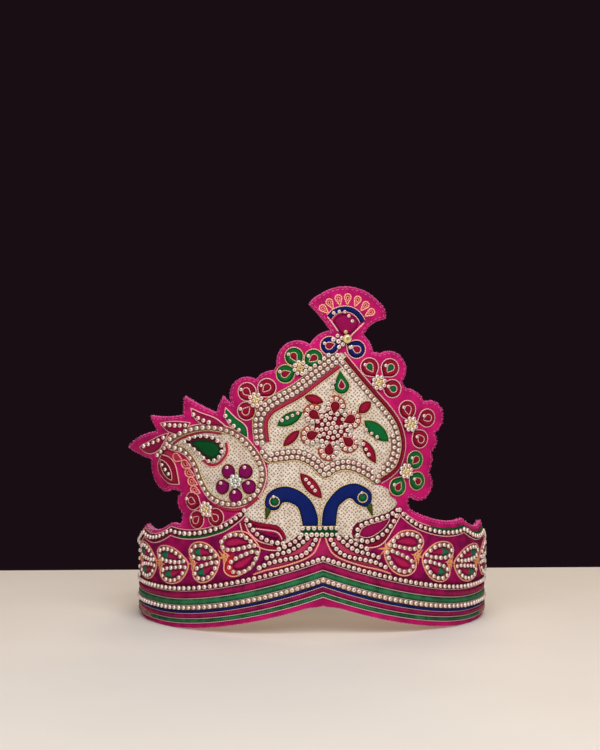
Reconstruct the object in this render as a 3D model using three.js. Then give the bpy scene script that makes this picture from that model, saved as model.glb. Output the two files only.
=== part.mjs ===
// Mukut crown: a standing crown of velvet-covered card, embroidered with padded motifs and rows of pearls.
// Every piece is drawn flat, as the card is cut, and then rolled round the head:
//   s    arc length along the outer face from the middle of the front, positive to the right
//   z    height above the table
//   lift distance out from the outer face of the wall
// The front faces -Y. Sizes are millimetres.

import * as THREE from 'three';
import { mergeVertices } from 'three/addons/utils/BufferGeometryUtils.js';

// Ring and wall
const RING_RADIUS = 87;
const WALL_THICKNESS = 2.4;
const SEAM_GAP = 0.6;
const RING_COLUMNS = 50;
const HALF_GIRTH = Math.PI * RING_RADIUS - SEAM_GAP / 2;

// The tall front panel opens to a flatter curve above the band
const FLARE = 0.8;
const FLARE_FROM = 52;
const FLARE_TO = 150;

// Cupid's-bow notch in the lower edge at the front
const NOTCH_RISE = 15.7;
const NOTCH_REACH = 89;
const NOTCH_POWER = 2;
const NOTCH_STEPS = 20;

// Scalloped rim of the band: heights of its peaks on each side, from under the panel round to the back seam
const PEAKS = [
  { at: 0, right: 60, left: 60 },
  { at: 41.5, right: 57.6, left: 57.6 },
  { at: 80.3, right: 51, left: 49.4 },
  { at: 111, right: 48, left: 46.8 },
  { at: 152, right: 41.5, left: 41.5 },
  { at: 192, right: 41, left: 41 },
  { at: 232.5, right: 41, left: 41 },
  { at: Math.PI * RING_RADIUS, right: 41, left: 41 },
];
const SWAG_SAG = 3.2;
const RIM_STEP = 7;
const RIM_CLEAR_OF_PANEL = 1;

// Heights above the lower edge of the pearl rows and trim bands
const PEARL_ROW_LOW = 10.5;
const PEARL_ROW_MID = 20.2;
const PEARL_ROW_BELOW_RIM = 4.8;
const PEARL_ROW_PANEL_DROP = 2;
const PANEL_DROP_REACH = 84;
const TRIM_LOWER = [2.7, 8.6];
const TRIM_UPPER = [12.4, 18.3];
const FIELD_ABOVE_EDGE = 22;
const FIELD_BELOW_PEARLS = 2;
const FIELD_START = 34;
const FIELD_COLUMNS = 36;
const TOP_ROW_START = 40;

// Seats and thicknesses, as lift from the wall
const GAP = 0.3;
const GROUND_BASE = GAP;
const GROUND_TOP = 0.8;
const ON_GROUND = GROUND_TOP + GAP;
const ON_WALL = GAP;
const PADDING = 1.4;
const PEARL_RADIUS = 1.25;
const PEARL_BUNDLE_HEIGHT = 2 * PEARL_RADIUS;
const PEARL_BUNDLE_WIDTH = 4.8;
const PEARL_STEP = 7.5;
const CORD_SIDES = 8;
const RIB_WIDTH = 1.6;

// Distances of the ribs and pearl rows in from the edge of the dome
const RIGHT_RIB_INSET = RIB_WIDTH / 2 + 0.1;
const RIGHT_PEARL_INSET = RIB_WIDTH + PEARL_RADIUS + GAP;
const BUNDLE_INSET = PEARL_BUNDLE_WIDTH / 2 - PEARL_RADIUS;
const LEFT_RIB_INSET = BUNDLE_INSET + PEARL_BUNDLE_WIDTH / 2 + RIB_WIDTH / 2 + GAP;
const FLOOR_INSET = BUNDLE_INSET + PEARL_RADIUS;

// Lines along which wide plates are scored to bend, and the length of the steps along arcs and curves
const UPRIGHT_COUNT = 52;
const SCORE_PITCH = (2 * Math.PI * RING_RADIUS) / UPRIGHT_COUNT;
const UPRIGHT_SCORES = Array.from(
  { length: UPRIGHT_COUNT },
  (_, i) => (i - UPRIGHT_COUNT / 2 + 0.5) * SCORE_PITCH,
);
const LEVEL_SCORE_PITCH = 12;
const LEVEL_SCORES = Array.from({ length: 8 }, (_, i) => FLARE_FROM + LEVEL_SCORE_PITCH * i);
const ARC_STEP = 4.2;
const SPLINE_STEP = 4;

// Colours of velvet, satin thread and pearls
const PINK = '#c8146f';
const MAGENTA = '#7e0a4e';
const CRIMSON = '#9b0f2e';
const ROSE = '#a52c4d';
const GREEN = '#0c6b35';
const BLUE = '#0a1f7a';
const CREAM = '#d8cdb8';
const PEARL = '#e6dad0';
const COPPER = '#c9805e';

// Edge of the front panel from the right of the band over the top to the left of the band.
// Each row is one lobe or leaf edge: the point that it swells through, then the cusp that ends it.
const PANEL_START = [41.4, 60.2];
const PANEL_EDGE = [
  { through: [41.8, 61.8], to: [43.2, 63.2] },
  { through: [55.2, 66.2], to: [53, 74] },
  { through: [54.7, 78.8], to: [54, 83.5] },
  { through: [56.7, 88.2], to: [55.1, 92.4] },
  { through: [59.6, 101.6], to: [49, 106.8] },
  { through: [45.2, 111], to: [39.6, 113] },
  { through: [38.2, 114.6], to: [37.4, 116.5] },
  { through: [38.6, 125], to: [26.6, 128.8] },
  { through: [24.8, 129.4], to: [23.3, 129] },
  { through: [21.9, 133.4], to: [18.6, 137.4] },
  { through: [22.3, 142.2], to: [29, 145] },
  { through: [28.9, 148.7], to: [25.7, 152.7] },
  { through: [12, 159.4], to: [-1.3, 155.6] },
  { through: [-4.2, 153.8], to: [-6.2, 151.4] },
  { through: [-1, 145.8], to: [3.8, 139.2] },
  { through: [-1.6, 137.4], to: [-5.8, 132.7] },
  { through: [-14.5, 134.1], to: [-20.9, 124.1] },
  { through: [-21.4, 122.4], to: [-22.6, 121] },
  { through: [-26.4, 120.2], to: [-30.6, 116.8] },
  { through: [-40.3, 116], to: [-41.6, 105.4] },
  { through: [-44.2, 107.2], to: [-46.4, 109.5] },
  { through: [-48.4, 105.2], to: [-49.6, 101.7] },
  { through: [-57.2, 104.9], to: [-65.9, 109.6] },
  { through: [-67.2, 105], to: [-67, 100.8] },
  { through: [-77, 99.9], to: [-87, 100.6] },
  { through: [-86, 96.8], to: [-83.8, 93.2] },
  { through: [-98, 90.2], to: [-111.5, 85.1] },
  { through: [-101, 81.6], to: [-91.4, 79.7] },
  { through: [-93.8, 71.6], to: [-81.3, 65.4] },
  { through: [-76, 65.4], to: [-71.8, 64] },
  { through: [-75.9, 59.2], to: [-71.8, 54.5] },
  { through: [-72.9, 52.7], to: [-72.9, 50.8] },
];

// Boundaries of the embroidered grounds
const DOME_LEFT = [
  [8, 129.2], [2.3, 124.9], [-4.9, 119.4], [-12.6, 113.5], [-19.9, 109.4], [-26.3, 105.3], [-30, 99.4],
  [-30.3, 93.9], [-29.6, 88],
];
const DOME_FLOOR = [
  [-24.6, 80.6], [-18, 81.2], [-11, 81.6], [-4.6, 78.6], [0.9, 73.6], [5.2, 76.2], [11, 77.2], [18, 74.8],
  [24.6, 70.2],
];
const DOME_RIGHT = [
  [9.4, 129], [14.6, 122.7], [24, 111.8], [31.2, 104], [36.2, 96.7], [38.6, 87], [36.5, 77.8], [32.6, 73.4],
  [27, 70],
];
const PEACOCK_GROUND = [
  [-23.4, 77.6], [-18, 78.4], [-11, 78.8], [-5.4, 75.6], [0.9, 70.6], [6, 73.4], [11, 74.2], [17, 72],
  [23.4, 67.4], [28.8, 63.5], [31, 58.4], [25, 55.6], [16, 53], [9, 46], [5.8, 45.6], [-10.2, 45.6],
  [-15, 47.6], [-19.5, 50.6], [-31, 53.6], [-29.4, 59], [-25.6, 65], [-24.6, 72],
];
const PAISLEY = [
  [-77, 87.2], [-68.1, 92.4], [-55.9, 95], [-44, 93.6], [-34.6, 87.6], [-27.7, 76.6], [-28.8, 67.4],
  [-34.6, 61.6], [-44.5, 59.8], [-53.4, 63], [-58.6, 70], [-61.8, 78], [-67.4, 84],
];

// Peacock necks and heads
const PEACOCKS = [
  { side: 'left', neck: [[-2.6, 51.4], [-2.7, 55.4], [-5.4, 62.2], [-11.2, 67], [-18, 68.5], [-24.3, 65.7],
    [-26.4, 60.8], [-24.8, 57.6], [-20.3, 57.6], [-17.6, 61], [-13.5, 60.2], [-10.8, 57.7], [-8.4, 51.4]],
  beak: { from: [-25.7, 57], to: [-26.8, 52.4] } },
  { side: 'right', neck: [[5.2, 51.4], [6.6, 58.2], [9.1, 61.2], [12.3, 62.8], [15.5, 60], [20.2, 58.8],
    [22.4, 62.4], [21.2, 66.6], [14.6, 69.8], [7.7, 68.1], [2.7, 63.1], [0.2, 58], [-0.4, 51.4]],
  beak: { from: [21.8, 58.6], to: [22.6, 53.8] } },
];
const BEAK_WIDTH = 2.6;
const COLLAR = [[-9.6, 47.8], [-2, 47.8], [5.2, 47.8]];

// Lens-shaped leaves: the two tips and the width. The first table lies on the grounds, the second on the wall
const GROUND_LEAVES = [
  { name: 'leaf_green_left', from: [-20.4, 95.8], to: [-9.4, 102], width: 5.4, colour: GREEN },
  { name: 'leaf_green_right', from: [18.8, 98], to: [30.2, 88.8], width: 6, colour: GREEN },
  { name: 'leaf_red_upper_left', from: [-8.4, 109.4], to: [0, 107.4], width: 2.8, colour: CRIMSON },
  { name: 'leaf_red_upper_right', from: [16.6, 102.2], to: [21.6, 106.6], width: 3.4, colour: CRIMSON },
  { name: 'leaf_red_lower_left', from: [-10.6, 93.6], to: [-17.4, 87.4], width: 3.8, colour: CRIMSON },
  { name: 'leaf_red_lower_right', from: [17.9, 89.8], to: [24, 79.4], width: 4.2, colour: CRIMSON },
  { name: 'almond_middle', from: [-10.3, 74.4], to: [-1.2, 63.6], width: 4.8, colour: CRIMSON },
];
const WALL_LEAVES = [
  { name: 'almond_side', from: [-83.4, 81], to: [-74.4, 68.4], width: 7.4, colour: CRIMSON },
  { name: 'wing_leaf_1', from: [-99.6, 84.9], to: [-80.4, 88], width: 5, colour: MAGENTA },
  { name: 'wing_leaf_2', from: [-80.6, 96.7], to: [-64, 96.6], width: 4, colour: MAGENTA },
  { name: 'wing_leaf_3', from: [-63, 103.5], to: [-47.6, 97.2], width: 4.4, colour: MAGENTA },
  { name: 'wing_leaf_4', from: [-45.2, 103.8], to: [-34.9, 91.6], width: 3.8, colour: GREEN },
];

// Drops: a point, and the centre and radius of the round end
const GROUND_DROPS = [
  { name: 'dome_bud', tip: [8.6, 109.8], centre: [8.2, 115.6], radius: 3.6, colour: GREEN },
  { name: 'paisley_drop', tip: [-62.3, 87.6], centre: [-52.6, 84.8], radius: 4.2, colour: GREEN },
];
const WALL_DROPS = [
  { name: 'drop_left', tip: [-37.4, 51.6], centre: [-22, 45], radius: 4.4, colour: MAGENTA },
  { name: 'drop_right', tip: [33, 53.4], centre: [19, 47.2], radius: 4.4, colour: MAGENTA },
];

// Flowers: a core of beads and the centres of the round petals about it
const TREFOIL_CORE = 2.6;
const TREFOIL_PETAL = 3.9;
const TREFOILS = [
  { name: 'trefoil_left', colour: CRIMSON, core: [-30.4, 107.6],
    petals: [[-34.6, 111.4], [-25.4, 113.2], [-34.9, 102.6]] },
  { name: 'trefoil_upper_left', colour: GREEN, core: [-10.2, 122.1],
    petals: [[-13.1, 127.4], [-4.2, 126.6], [-17, 119.5]] },
  { name: 'trefoil_top', colour: BLUE, core: [9.1, 134.4],
    petals: [[3.2, 132.9], [15.1, 131.1]] },
  { name: 'trefoil_upper_right', colour: CRIMSON, core: [25.6, 115.6],
    petals: [[21.4, 122.7], [31.1, 122.4], [32.3, 112.9]] },
  { name: 'trefoil_right', colour: CRIMSON, core: [41.3, 96.6],
    petals: [[39.8, 103.3], [50.2, 99.4], [46.7, 89.7]] },
  { name: 'trefoil_lower_right', colour: GREEN, core: [39.3, 75],
    petals: [[44.4, 80], [45.8, 70.2], [35.4, 67.8]] },
  { name: 'trefoil_lower_left', colour: CRIMSON, core: [-56, 57.2],
    petals: [[-64.6, 60.6], [-62.1, 51.9], [-51, 53.4]] },
];
const GROUND_FLOWERS = [
  { name: 'dome_flower', colour: CRIMSON, core: [3.7, 94.9], coreRadius: 5.8, petalRadius: 3.7,
    petals: [[5.4, 104.6], [12.4, 98.9], [11.5, 88.6], [2.8, 85], [-5.2, 91.6], [-4.2, 101]] },
  { name: 'paisley_flower', colour: MAGENTA, core: [-40.4, 70.2], coreRadius: 3.6, petalRadius: 2.6,
    petals: [[-44.5, 75], [-36, 75.4], [-47, 67.8], [-34.4, 68.4], [-40.8, 64.4]] },
];

// Turns in radians, from a petal's outward heading, at which its edge is drawn. The core's edge shows once in
// the middle of a space between petals, or three times where the space is wide
const PETAL_TURNS = [-2, -1.2, -0.4, 0.4, 1.2, 2];
const WIDE_SPACE = 1.9;

// Rose wings under the peacocks, and the pearl row along each; the right side mirrors the left
const ROSE_WING = [
  [-32, 29.2], [-24, 30.6], [-16.6, 32.6], [-10.3, 35.2], [-5.8, 38.8], [-3, 44.2], [-8.4, 45], [-13, 42.9],
  [-19, 39.6], [-26, 35],
];
const WING_PEARLS = [[-4.6, 43.6], [-6.4, 40], [-10.2, 37.2], [-15.6, 35.6], [-21, 34.2], [-27, 31.8]];

// Finial fan
const FAN_ARC = [[3, 145.6], [6.9, 149.1], [11, 150.1], [15.1, 147.9], [18.4, 143.3]];
const FAN_ARC_WIDTH = 2.2;
const FAN_SHIELD = [[4.6, 143.4], [8, 146.6], [12, 147], [15.6, 144], [9.8, 138.2]];

// Garland of hearts along each side of the band, tips to the front: the arc lengths at which one heart ends
// and the next begins. The half heights are at even stations along one heart and its link
const HEART_TIPS = {
  right: [27.8, 48, 69.6, 98, 126],
  left: [27.8, 48, 66, 91.6, 118],
};
const HEART_HEIGHT = 29.4;
const HEART_NOTCH_SHARE = 1.65;
const HEART_HALF_HEIGHTS = [1, 3.8, 6.4, 7.5, 6.6, 1.2];

function smoothStep(value) {
  const t = Math.min(1, Math.max(0, value));
  return t * t * (3 - 2 * t);
}

// Height of the lower edge at arc length s
function notch(s) {
  return NOTCH_RISE * Math.max(0, 1 - Math.abs(s) / NOTCH_REACH) ** NOTCH_POWER;
}

// Height of the scalloped rim at arc length s: hanging curves between the peaks
function rim(s) {
  const index = PEAKS.findIndex(({ at }) => at > Math.abs(s));
  const [before, after] = [PEAKS[index - 1], PEAKS[index]];
  const t = (Math.abs(s) - before.at) / (after.at - before.at);
  const side = s < 0 ? 'left' : 'right';
  const chord = before[side] * (1 - t) + after[side] * t;
  return chord - SWAG_SAG * 4 * t * (1 - t);
}

// Rolls a flat point round the head. The radius grows with height, so the panel top is a flatter curve
function roll(s, z, lift) {
  const radius = RING_RADIUS * (1 + FLARE * smoothStep((z - FLARE_FROM) / (FLARE_TO - FLARE_FROM)));
  const angle = s / radius;
  const reach = radius + lift;
  return [reach * Math.sin(angle), radius - RING_RADIUS - reach * Math.cos(angle), z];
}

// Keeps positions alone and joins the vertices that lie together
function weld(geometry) {
  geometry.deleteAttribute('normal');
  geometry.deleteAttribute('uv');
  return mergeVertices(geometry);
}

// Bends a flat closed geometry round the head
function bend(geometry) {
  const position = geometry.getAttribute('position');
  for (let i = 0; i < position.count; i += 1) {
    position.setXYZ(i, ...roll(position.getX(i), position.getY(i), position.getZ(i)));
  }
  geometry.computeVertexNormals();
  return geometry;
}

// Cuts a flat polygon where one coordinate crosses a line, into the pieces on either side of it.
// Each chain of points on one side runs from crossing to crossing, and the crossings pair up along the line.
function slice(polygon, axis, line) {
  const isBelow = (point) => point[axis] < line;
  const after = (i) => polygon[(i + 1) % polygon.length];
  const start = polygon.findIndex((point, i) => isBelow(point) && !isBelow(after(i)));
  if (start < 0) return [polygon];
  const chains = [];
  for (let i = start; i < start + polygon.length; i += 1) {
    const here = polygon[i % polygon.length];
    const next = after(i);
    if (i > start) chains.at(-1).points.push(here);
    if (isBelow(here) !== isBelow(next)) {
      const [low, high] = isBelow(here) ? [here, next] : [next, here];
      const share = (line - low[axis]) / (high[axis] - low[axis]);
      const level = low[1 - axis] + (high[1 - axis] - low[1 - axis]) * share;
      const crossing = axis === 0 ? [line, level] : [level, line];
      if (chains.length > 0) chains.at(-1).points.push(crossing);
      chains.push({ points: [crossing], below: isBelow(next) });
    }
  }
  chains.at(-1).points.push(polygon[start], chains[0].points[0]);
  const crossings = chains.map((chain) => chain.points[0]).sort((p, q) => p[1 - axis] - q[1 - axis]);
  const partner = (crossing) => crossings[crossings.indexOf(crossing) ^ 1];
  const pieces = [];
  const waiting = new Set(chains);
  while (waiting.size > 0) {
    const piece = [];
    let [chain] = waiting;
    while (waiting.delete(chain)) {
      piece.push(...chain.points);
      const { below, points } = chain;
      chain = chains.find((other) => other.below === below && other.points[0] === partner(points.at(-1)));
    }
    pieces.push(piece);
  }
  return pieces;
}

// Score lines that a plate needs: none unless it is wider than the pitch
function scoresFor(lines, values) {
  const [low, high] = [Math.min(...values), Math.max(...values)];
  return high - low > SCORE_PITCH ? lines.filter((line) => line > low && line < high) : [];
}

// Plate of a closed outline between two lifts, scored into cells so that it bends, and bent round the head
function plate(outline, base, top) {
  const isClockWise = THREE.ShapeUtils.isClockWise(outline.map(([s, z]) => new THREE.Vector2(s, z)));
  let cells = [isClockWise ? [...outline].reverse() : outline];
  [UPRIGHT_SCORES, LEVEL_SCORES].forEach((lines, axis) => {
    for (const line of scoresFor(lines, outline.map((point) => point[axis]))) {
      cells = cells.flatMap((cell) => slice(cell, axis, line));
    }
  });
  const numbers = new Map();
  const points = [];
  const number = (point) => {
    const key = point.join(' ');
    if (!numbers.has(key)) numbers.set(key, points.push(point) - 1);
    return numbers.get(key);
  };
  const faces = cells.flatMap((cell) => {
    const triangles = THREE.ShapeUtils.triangulateShape(cell.map(([s, z]) => new THREE.Vector2(s, z)), []);
    return triangles.map((triangle) => triangle.map((corner) => number(cell[corner])));
  });
  const edges = new Set(faces.flatMap(([p, q, r]) => [`${p} ${q}`, `${q} ${r}`, `${r} ${p}`]));
  const count = points.length;
  const index = faces.flatMap(([p, q, r]) => [p, q, r, r + count, q + count, p + count]);
  for (const edge of edges) {
    const [p, q] = edge.split(' ').map(Number);
    if (!edges.has(`${q} ${p}`)) index.push(q, p, p + count, q, p + count, q + count);
  }
  const geometry = new THREE.BufferGeometry();
  const corners = [top, base].flatMap((lift) => points.flatMap(([s, z]) => [s, z, lift]));
  geometry.setAttribute('position', new THREE.Float32BufferAttribute(corners, 3));
  geometry.setIndex(index);
  return bend(geometry);
}

// Points of an arc through three points, without the first
function arcThrough(a, b, c) {
  const d = 2 * (a[0] * (b[1] - c[1]) + b[0] * (c[1] - a[1]) + c[0] * (a[1] - b[1]));
  const square = ([x, y]) => x * x + y * y;
  const centre = [
    (square(a) * (b[1] - c[1]) + square(b) * (c[1] - a[1]) + square(c) * (a[1] - b[1])) / d,
    (square(a) * (c[0] - b[0]) + square(b) * (a[0] - c[0]) + square(c) * (b[0] - a[0])) / d,
  ];
  const radius = Math.hypot(a[0] - centre[0], a[1] - centre[1]);
  const angle = (p) => Math.atan2(p[1] - centre[1], p[0] - centre[0]);
  const turn = (d > 0 ? 1 : -1) * 2 * Math.PI;
  const from = angle(a);
  const sweep = ((angle(c) - from) % turn + turn) % turn;
  const steps = Math.max(2, Math.ceil(Math.abs(sweep) * radius / ARC_STEP));
  return Array.from({ length: steps }, (_, i) => {
    const at = from + sweep * (i + 1) / steps;
    return i + 1 === steps ? c : [centre[0] + radius * Math.cos(at), centre[1] + radius * Math.sin(at)];
  });
}

// Smooth curve through a few points, sampled evenly
function curve(points, closed = false) {
  const path = new THREE.CatmullRomCurve3(points.map(([s, z]) => new THREE.Vector3(s, z, 0)), closed);
  const steps = Math.round(path.getLength() / SPLINE_STEP);
  const samples = path.getSpacedPoints(steps).map((p) => [p.x, p.y]);
  return closed ? samples.slice(0, -1) : samples;
}

// Path moved sideways by a distance, to the left of its direction when positive
function offset(path, distance) {
  return path.map(([s, z], i) => {
    const before = path[Math.max(0, i - 1)];
    const after = path[Math.min(path.length - 1, i + 1)];
    const along = [after[0] - before[0], after[1] - before[1]];
    const length = Math.hypot(...along);
    return [s - along[1] / length * distance, z + along[0] / length * distance];
  });
}

// Corners of a round section
function disc(radius, sides) {
  return Array.from({ length: sides }, (_, i) => {
    const angle = 2 * Math.PI * i / sides;
    return new THREE.Vector2(radius * Math.cos(angle), radius * Math.sin(angle));
  });
}

// Drop outline: a round end and two sides that run to the tip
function drop(tip, centre, radius, sides = 9) {
  const reach = Math.hypot(tip[0] - centre[0], tip[1] - centre[1]);
  const heading = Math.atan2(tip[1] - centre[1], tip[0] - centre[0]);
  const tangent = Math.acos(radius / reach);
  const round = Array.from({ length: sides }, (_, i) => {
    const angle = heading + tangent + (2 * Math.PI - 2 * tangent) * i / (sides - 1);
    return [centre[0] + radius * Math.cos(angle), centre[1] + radius * Math.sin(angle)];
  });
  return [tip, ...round];
}

// Flower outline: round petals about a core, with the core's edge showing between them
function rosette(core, coreRadius, petals, petalRadius) {
  const polar = ([s, z], radius, angle) => [s + radius * Math.cos(angle), z + radius * Math.sin(angle)];
  const ordered = petals
    .map((centre) => ({ centre, heading: Math.atan2(centre[1] - core[1], centre[0] - core[0]) }))
    .sort((a, b) => a.heading - b.heading);
  return ordered.flatMap(({ centre, heading }, i) => {
    const next = ordered[(i + 1) % ordered.length].heading;
    const space = (next - heading + 2 * Math.PI) % (2 * Math.PI);
    const round = PETAL_TURNS.map((turn) => polar(centre, petalRadius, heading + turn));
    const shares = space > WIDE_SPACE ? [0.25, 0.5, 0.75] : [0.5];
    return [...round, ...shares.map((share) => polar(core, coreRadius, heading + space * share))];
  });
}

// Lens outline between two tips: two arcs that bulge to the width
function lens(from, to, width) {
  const middle = [(from[0] + to[0]) / 2, (from[1] + to[1]) / 2];
  const length = Math.hypot(to[0] - from[0], to[1] - from[1]);
  const side = [-(to[1] - from[1]) / length * width / 2, (to[0] - from[0]) / length * width / 2];
  const upper = arcThrough(from, [middle[0] + side[0], middle[1] + side[1]], to);
  const lower = arcThrough(to, [middle[0] - side[0], middle[1] - side[1]], from);
  return [...upper, ...lower];
}

// Arc lengths from one to another in a number of even steps
function evenly(from, to, steps) {
  return Array.from({ length: steps + 1 }, (_, i) => from + (to - from) * i / steps);
}

// Flat strip between two height curves: a box divided along the girth at the given arc lengths
function strip(stations, lower, upper, base, top) {
  const geometry = weld(new THREE.BoxGeometry(1, 1, 1, stations.length - 1, 1, 1));
  const position = geometry.getAttribute('position');
  for (let i = 0; i < position.count; i += 1) {
    const station = Math.round((position.getX(i) + 0.5) * (stations.length - 1));
    const s = stations[station];
    const low = lower(s, station);
    const z = low + (upper(s, station) - low) * (position.getY(i) + 0.5);
    position.setXYZ(i, s, z, base + (top - base) * (position.getZ(i) + 0.5));
  }
  return bend(geometry);
}

// Flat ribbon of a given width along a path: a box divided along its length
function ribbon(path, width, base, top) {
  const geometry = weld(new THREE.BoxGeometry(1, 1, 1, path.length - 1, 1, 1));
  const left = offset(path, width / 2);
  const right = offset(path, -width / 2);
  const position = geometry.getAttribute('position');
  for (let i = 0; i < position.count; i += 1) {
    const station = Math.round((position.getX(i) + 0.5) * (path.length - 1));
    const [s, z] = position.getY(i) > 0 ? left[station] : right[station];
    position.setXYZ(i, s, z, base + (top - base) * (position.getZ(i) + 0.5));
  }
  return bend(geometry);
}

// String of pearls as a plain round cord along a path
function pearlString(path, seat) {
  const points = path.map(([s, z]) => new THREE.Vector3(s, z, seat + PEARL_RADIUS));
  const route = new THREE.CatmullRomCurve3(points);
  const section = new THREE.Shape(disc(PEARL_RADIUS, CORD_SIDES));
  const steps = Math.ceil(route.getLength() / PEARL_STEP);
  return bend(weld(new THREE.ExtrudeGeometry(section, { steps, extrudePath: route, bevelEnabled: false })));
}

const mirror = (points) => points.map(([s, z]) => [-s, z]);

const crown = new THREE.Group();

// Adds a named piece to the crown
function add(name, geometry, colour, roughness = 0.85) {
  const material = new THREE.MeshStandardMaterial({ color: colour, roughness, metalness: 0 });
  const mesh = new THREE.Mesh(geometry, material);
  mesh.name = name;
  crown.add(mesh);
}

const addPearls = (name, geometry) => add(name, geometry, PEARL, 0.3);

// Card wall: lower edge with its notch, right rim, panel edge, left rim
function wallOutline() {
  const lower = Array.from({ length: NOTCH_STEPS + 1 }, (_, i) => {
    const s = NOTCH_REACH * (2 * i / NOTCH_STEPS - 1);
    return [s, notch(s)];
  });
  const rimFrom = (start, sign) => {
    const peaks = PEAKS.map(({ at }) => at).filter((at) => at > start && at < HALF_GIRTH);
    const stops = [start, ...peaks, HALF_GIRTH];
    const along = stops.slice(1).flatMap((stop, i) => {
      const steps = Math.round((stop - stops[i]) / RIM_STEP);
      return Array.from({ length: steps }, (_, step) => stops[i] + (stop - stops[i]) * step / steps);
    });
    return [...along, HALF_GIRTH].map((s) => [sign * s, rim(sign * s)]);
  };
  const right = rimFrom(PANEL_START[0] + RIM_CLEAR_OF_PANEL, 1).reverse();
  const left = rimFrom(RIM_CLEAR_OF_PANEL - PANEL_EDGE.at(-1).to[0], -1);
  let corner = PANEL_START;
  const panel = [corner];
  for (const { through, to } of PANEL_EDGE) {
    panel.push(...arcThrough(corner, through, to));
    corner = to;
  }
  return [[-HALF_GIRTH, 0], ...lower, [HALF_GIRTH, 0], ...right, ...panel, ...left];
}

add('crown_wall', plate(wallOutline(), -WALL_THICKNESS, 0), PINK, 0.95);

// Trim bands and pearl rows that follow the lower edge all the way round
const trims = { trim_band_lower: TRIM_LOWER, trim_band_upper: TRIM_UPPER };
for (const [name, [low, high]] of Object.entries(trims)) {
  const lower = (s) => notch(s) + low;
  const upper = (s) => notch(s) + high;
  const band = strip(evenly(-HALF_GIRTH, HALF_GIRTH, RING_COLUMNS), lower, upper, GROUND_BASE, GROUND_TOP);
  add(name, band, MAGENTA, 0.6);
}

function ringPath(from, to, height) {
  const steps = Math.ceil((to - from) / PEARL_STEP);
  return Array.from({ length: steps + 1 }, (_, i) => {
    const s = from + (to - from) * i / steps;
    return [s, height(s)];
  });
}

const rows = { pearls_row_low: PEARL_ROW_LOW, pearls_row_mid: PEARL_ROW_MID };
for (const [name, height] of Object.entries(rows)) {
  addPearls(name, pearlString(ringPath(-HALF_GIRTH, HALF_GIRTH, (s) => notch(s) + height), ON_WALL));
}

// On each side, the velvet field and the pearl row under the rim run to the back seam.
// Hearts lie along the front and the sides
const topRow = (s) => {
  const nearPanel = Math.max(0, 1 - Math.abs(s) / PANEL_DROP_REACH);
  return rim(Math.abs(s)) - PEARL_ROW_BELOW_RIM - PEARL_ROW_PANEL_DROP * nearPanel;
};
const heartMiddle = (s) => HEART_HEIGHT + HEART_NOTCH_SHARE * notch(s);
for (const [side, sign] of [['right', 1], ['left', -1]]) {
  const facing = (list) => (sign > 0 ? list : [...list].reverse());
  const onSide = (stations) => facing(stations.map((s) => sign * s));
  const fieldLow = (s) => notch(s) + FIELD_ABOVE_EDGE;
  const fieldHigh = (s) => topRow(s) - FIELD_BELOW_PEARLS;
  const fieldStations = onSide(evenly(FIELD_START, HALF_GIRTH, FIELD_COLUMNS));
  const field = strip(fieldStations, fieldLow, fieldHigh, GROUND_BASE, GROUND_TOP);
  add(`band_field_${side}`, field, MAGENTA);
  const row = ringPath(TOP_ROW_START, HALF_GIRTH, topRow);
  addPearls(`pearls_top_${side}`, pearlString(sign > 0 ? row : mirror(row), ON_WALL));
  const tips = HEART_TIPS[side];
  const perHeart = HEART_HALF_HEIGHTS.length;
  const heartStations = tips.slice(1).flatMap((next, i) => evenly(tips[i], next, perHeart).slice(0, -1));
  const halves = facing([...heartStations, tips.at(-1)].map((_, i) => HEART_HALF_HEIGHTS[i % perHeart]));
  const heartLow = (s, station) => heartMiddle(s) - halves[station];
  const heartHigh = (s, station) => heartMiddle(s) + halves[station];
  const garland = onSide([...heartStations, tips.at(-1)]);
  const hearts = strip(garland, heartLow, heartHigh, ON_GROUND, ON_GROUND + PADDING);
  add(`heart_garland_${side}`, hearts, COPPER, 0.5);
}

// Grounds of the panel
const domeLeft = curve(DOME_LEFT);
const domeRight = curve(DOME_RIGHT);
const domeFloor = curve(DOME_FLOOR);
const domeOutline = [...domeLeft, ...domeFloor, ...[...domeRight].reverse()];
const grounds = {
  dome_ground: domeOutline,
  peacock_ground: curve(PEACOCK_GROUND, true),
  paisley_ground: curve(PAISLEY, true),
};
for (const [name, outline] of Object.entries(grounds)) {
  add(name, plate(outline, GROUND_BASE, GROUND_TOP), CREAM);
}

// Satin ribs and pearl rows of the dome. They start a step or two below its point, where they would meet
const bundle = (path) => ribbon(path, PEARL_BUNDLE_WIDTH, ON_GROUND, ON_GROUND + PEARL_BUNDLE_HEIGHT);
const rib = (path) => ribbon(path, RIB_WIDTH, ON_GROUND, ON_GROUND + PADDING);
add('dome_rib_left', rib(offset(domeLeft, LEFT_RIB_INSET).slice(2)), CRIMSON, 0.5);
add('dome_rib_right', rib(offset(domeRight, -RIGHT_RIB_INSET).slice(1)), CRIMSON, 0.5);
addPearls('pearls_dome_left', bundle(offset(domeLeft, BUNDLE_INSET).slice(1)));
addPearls('pearls_dome_right', pearlString(offset(domeRight, -RIGHT_PEARL_INSET).slice(1, -2), ON_GROUND));
addPearls('pearls_dome_floor', bundle(offset(domeFloor, FLOOR_INSET)));

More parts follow.
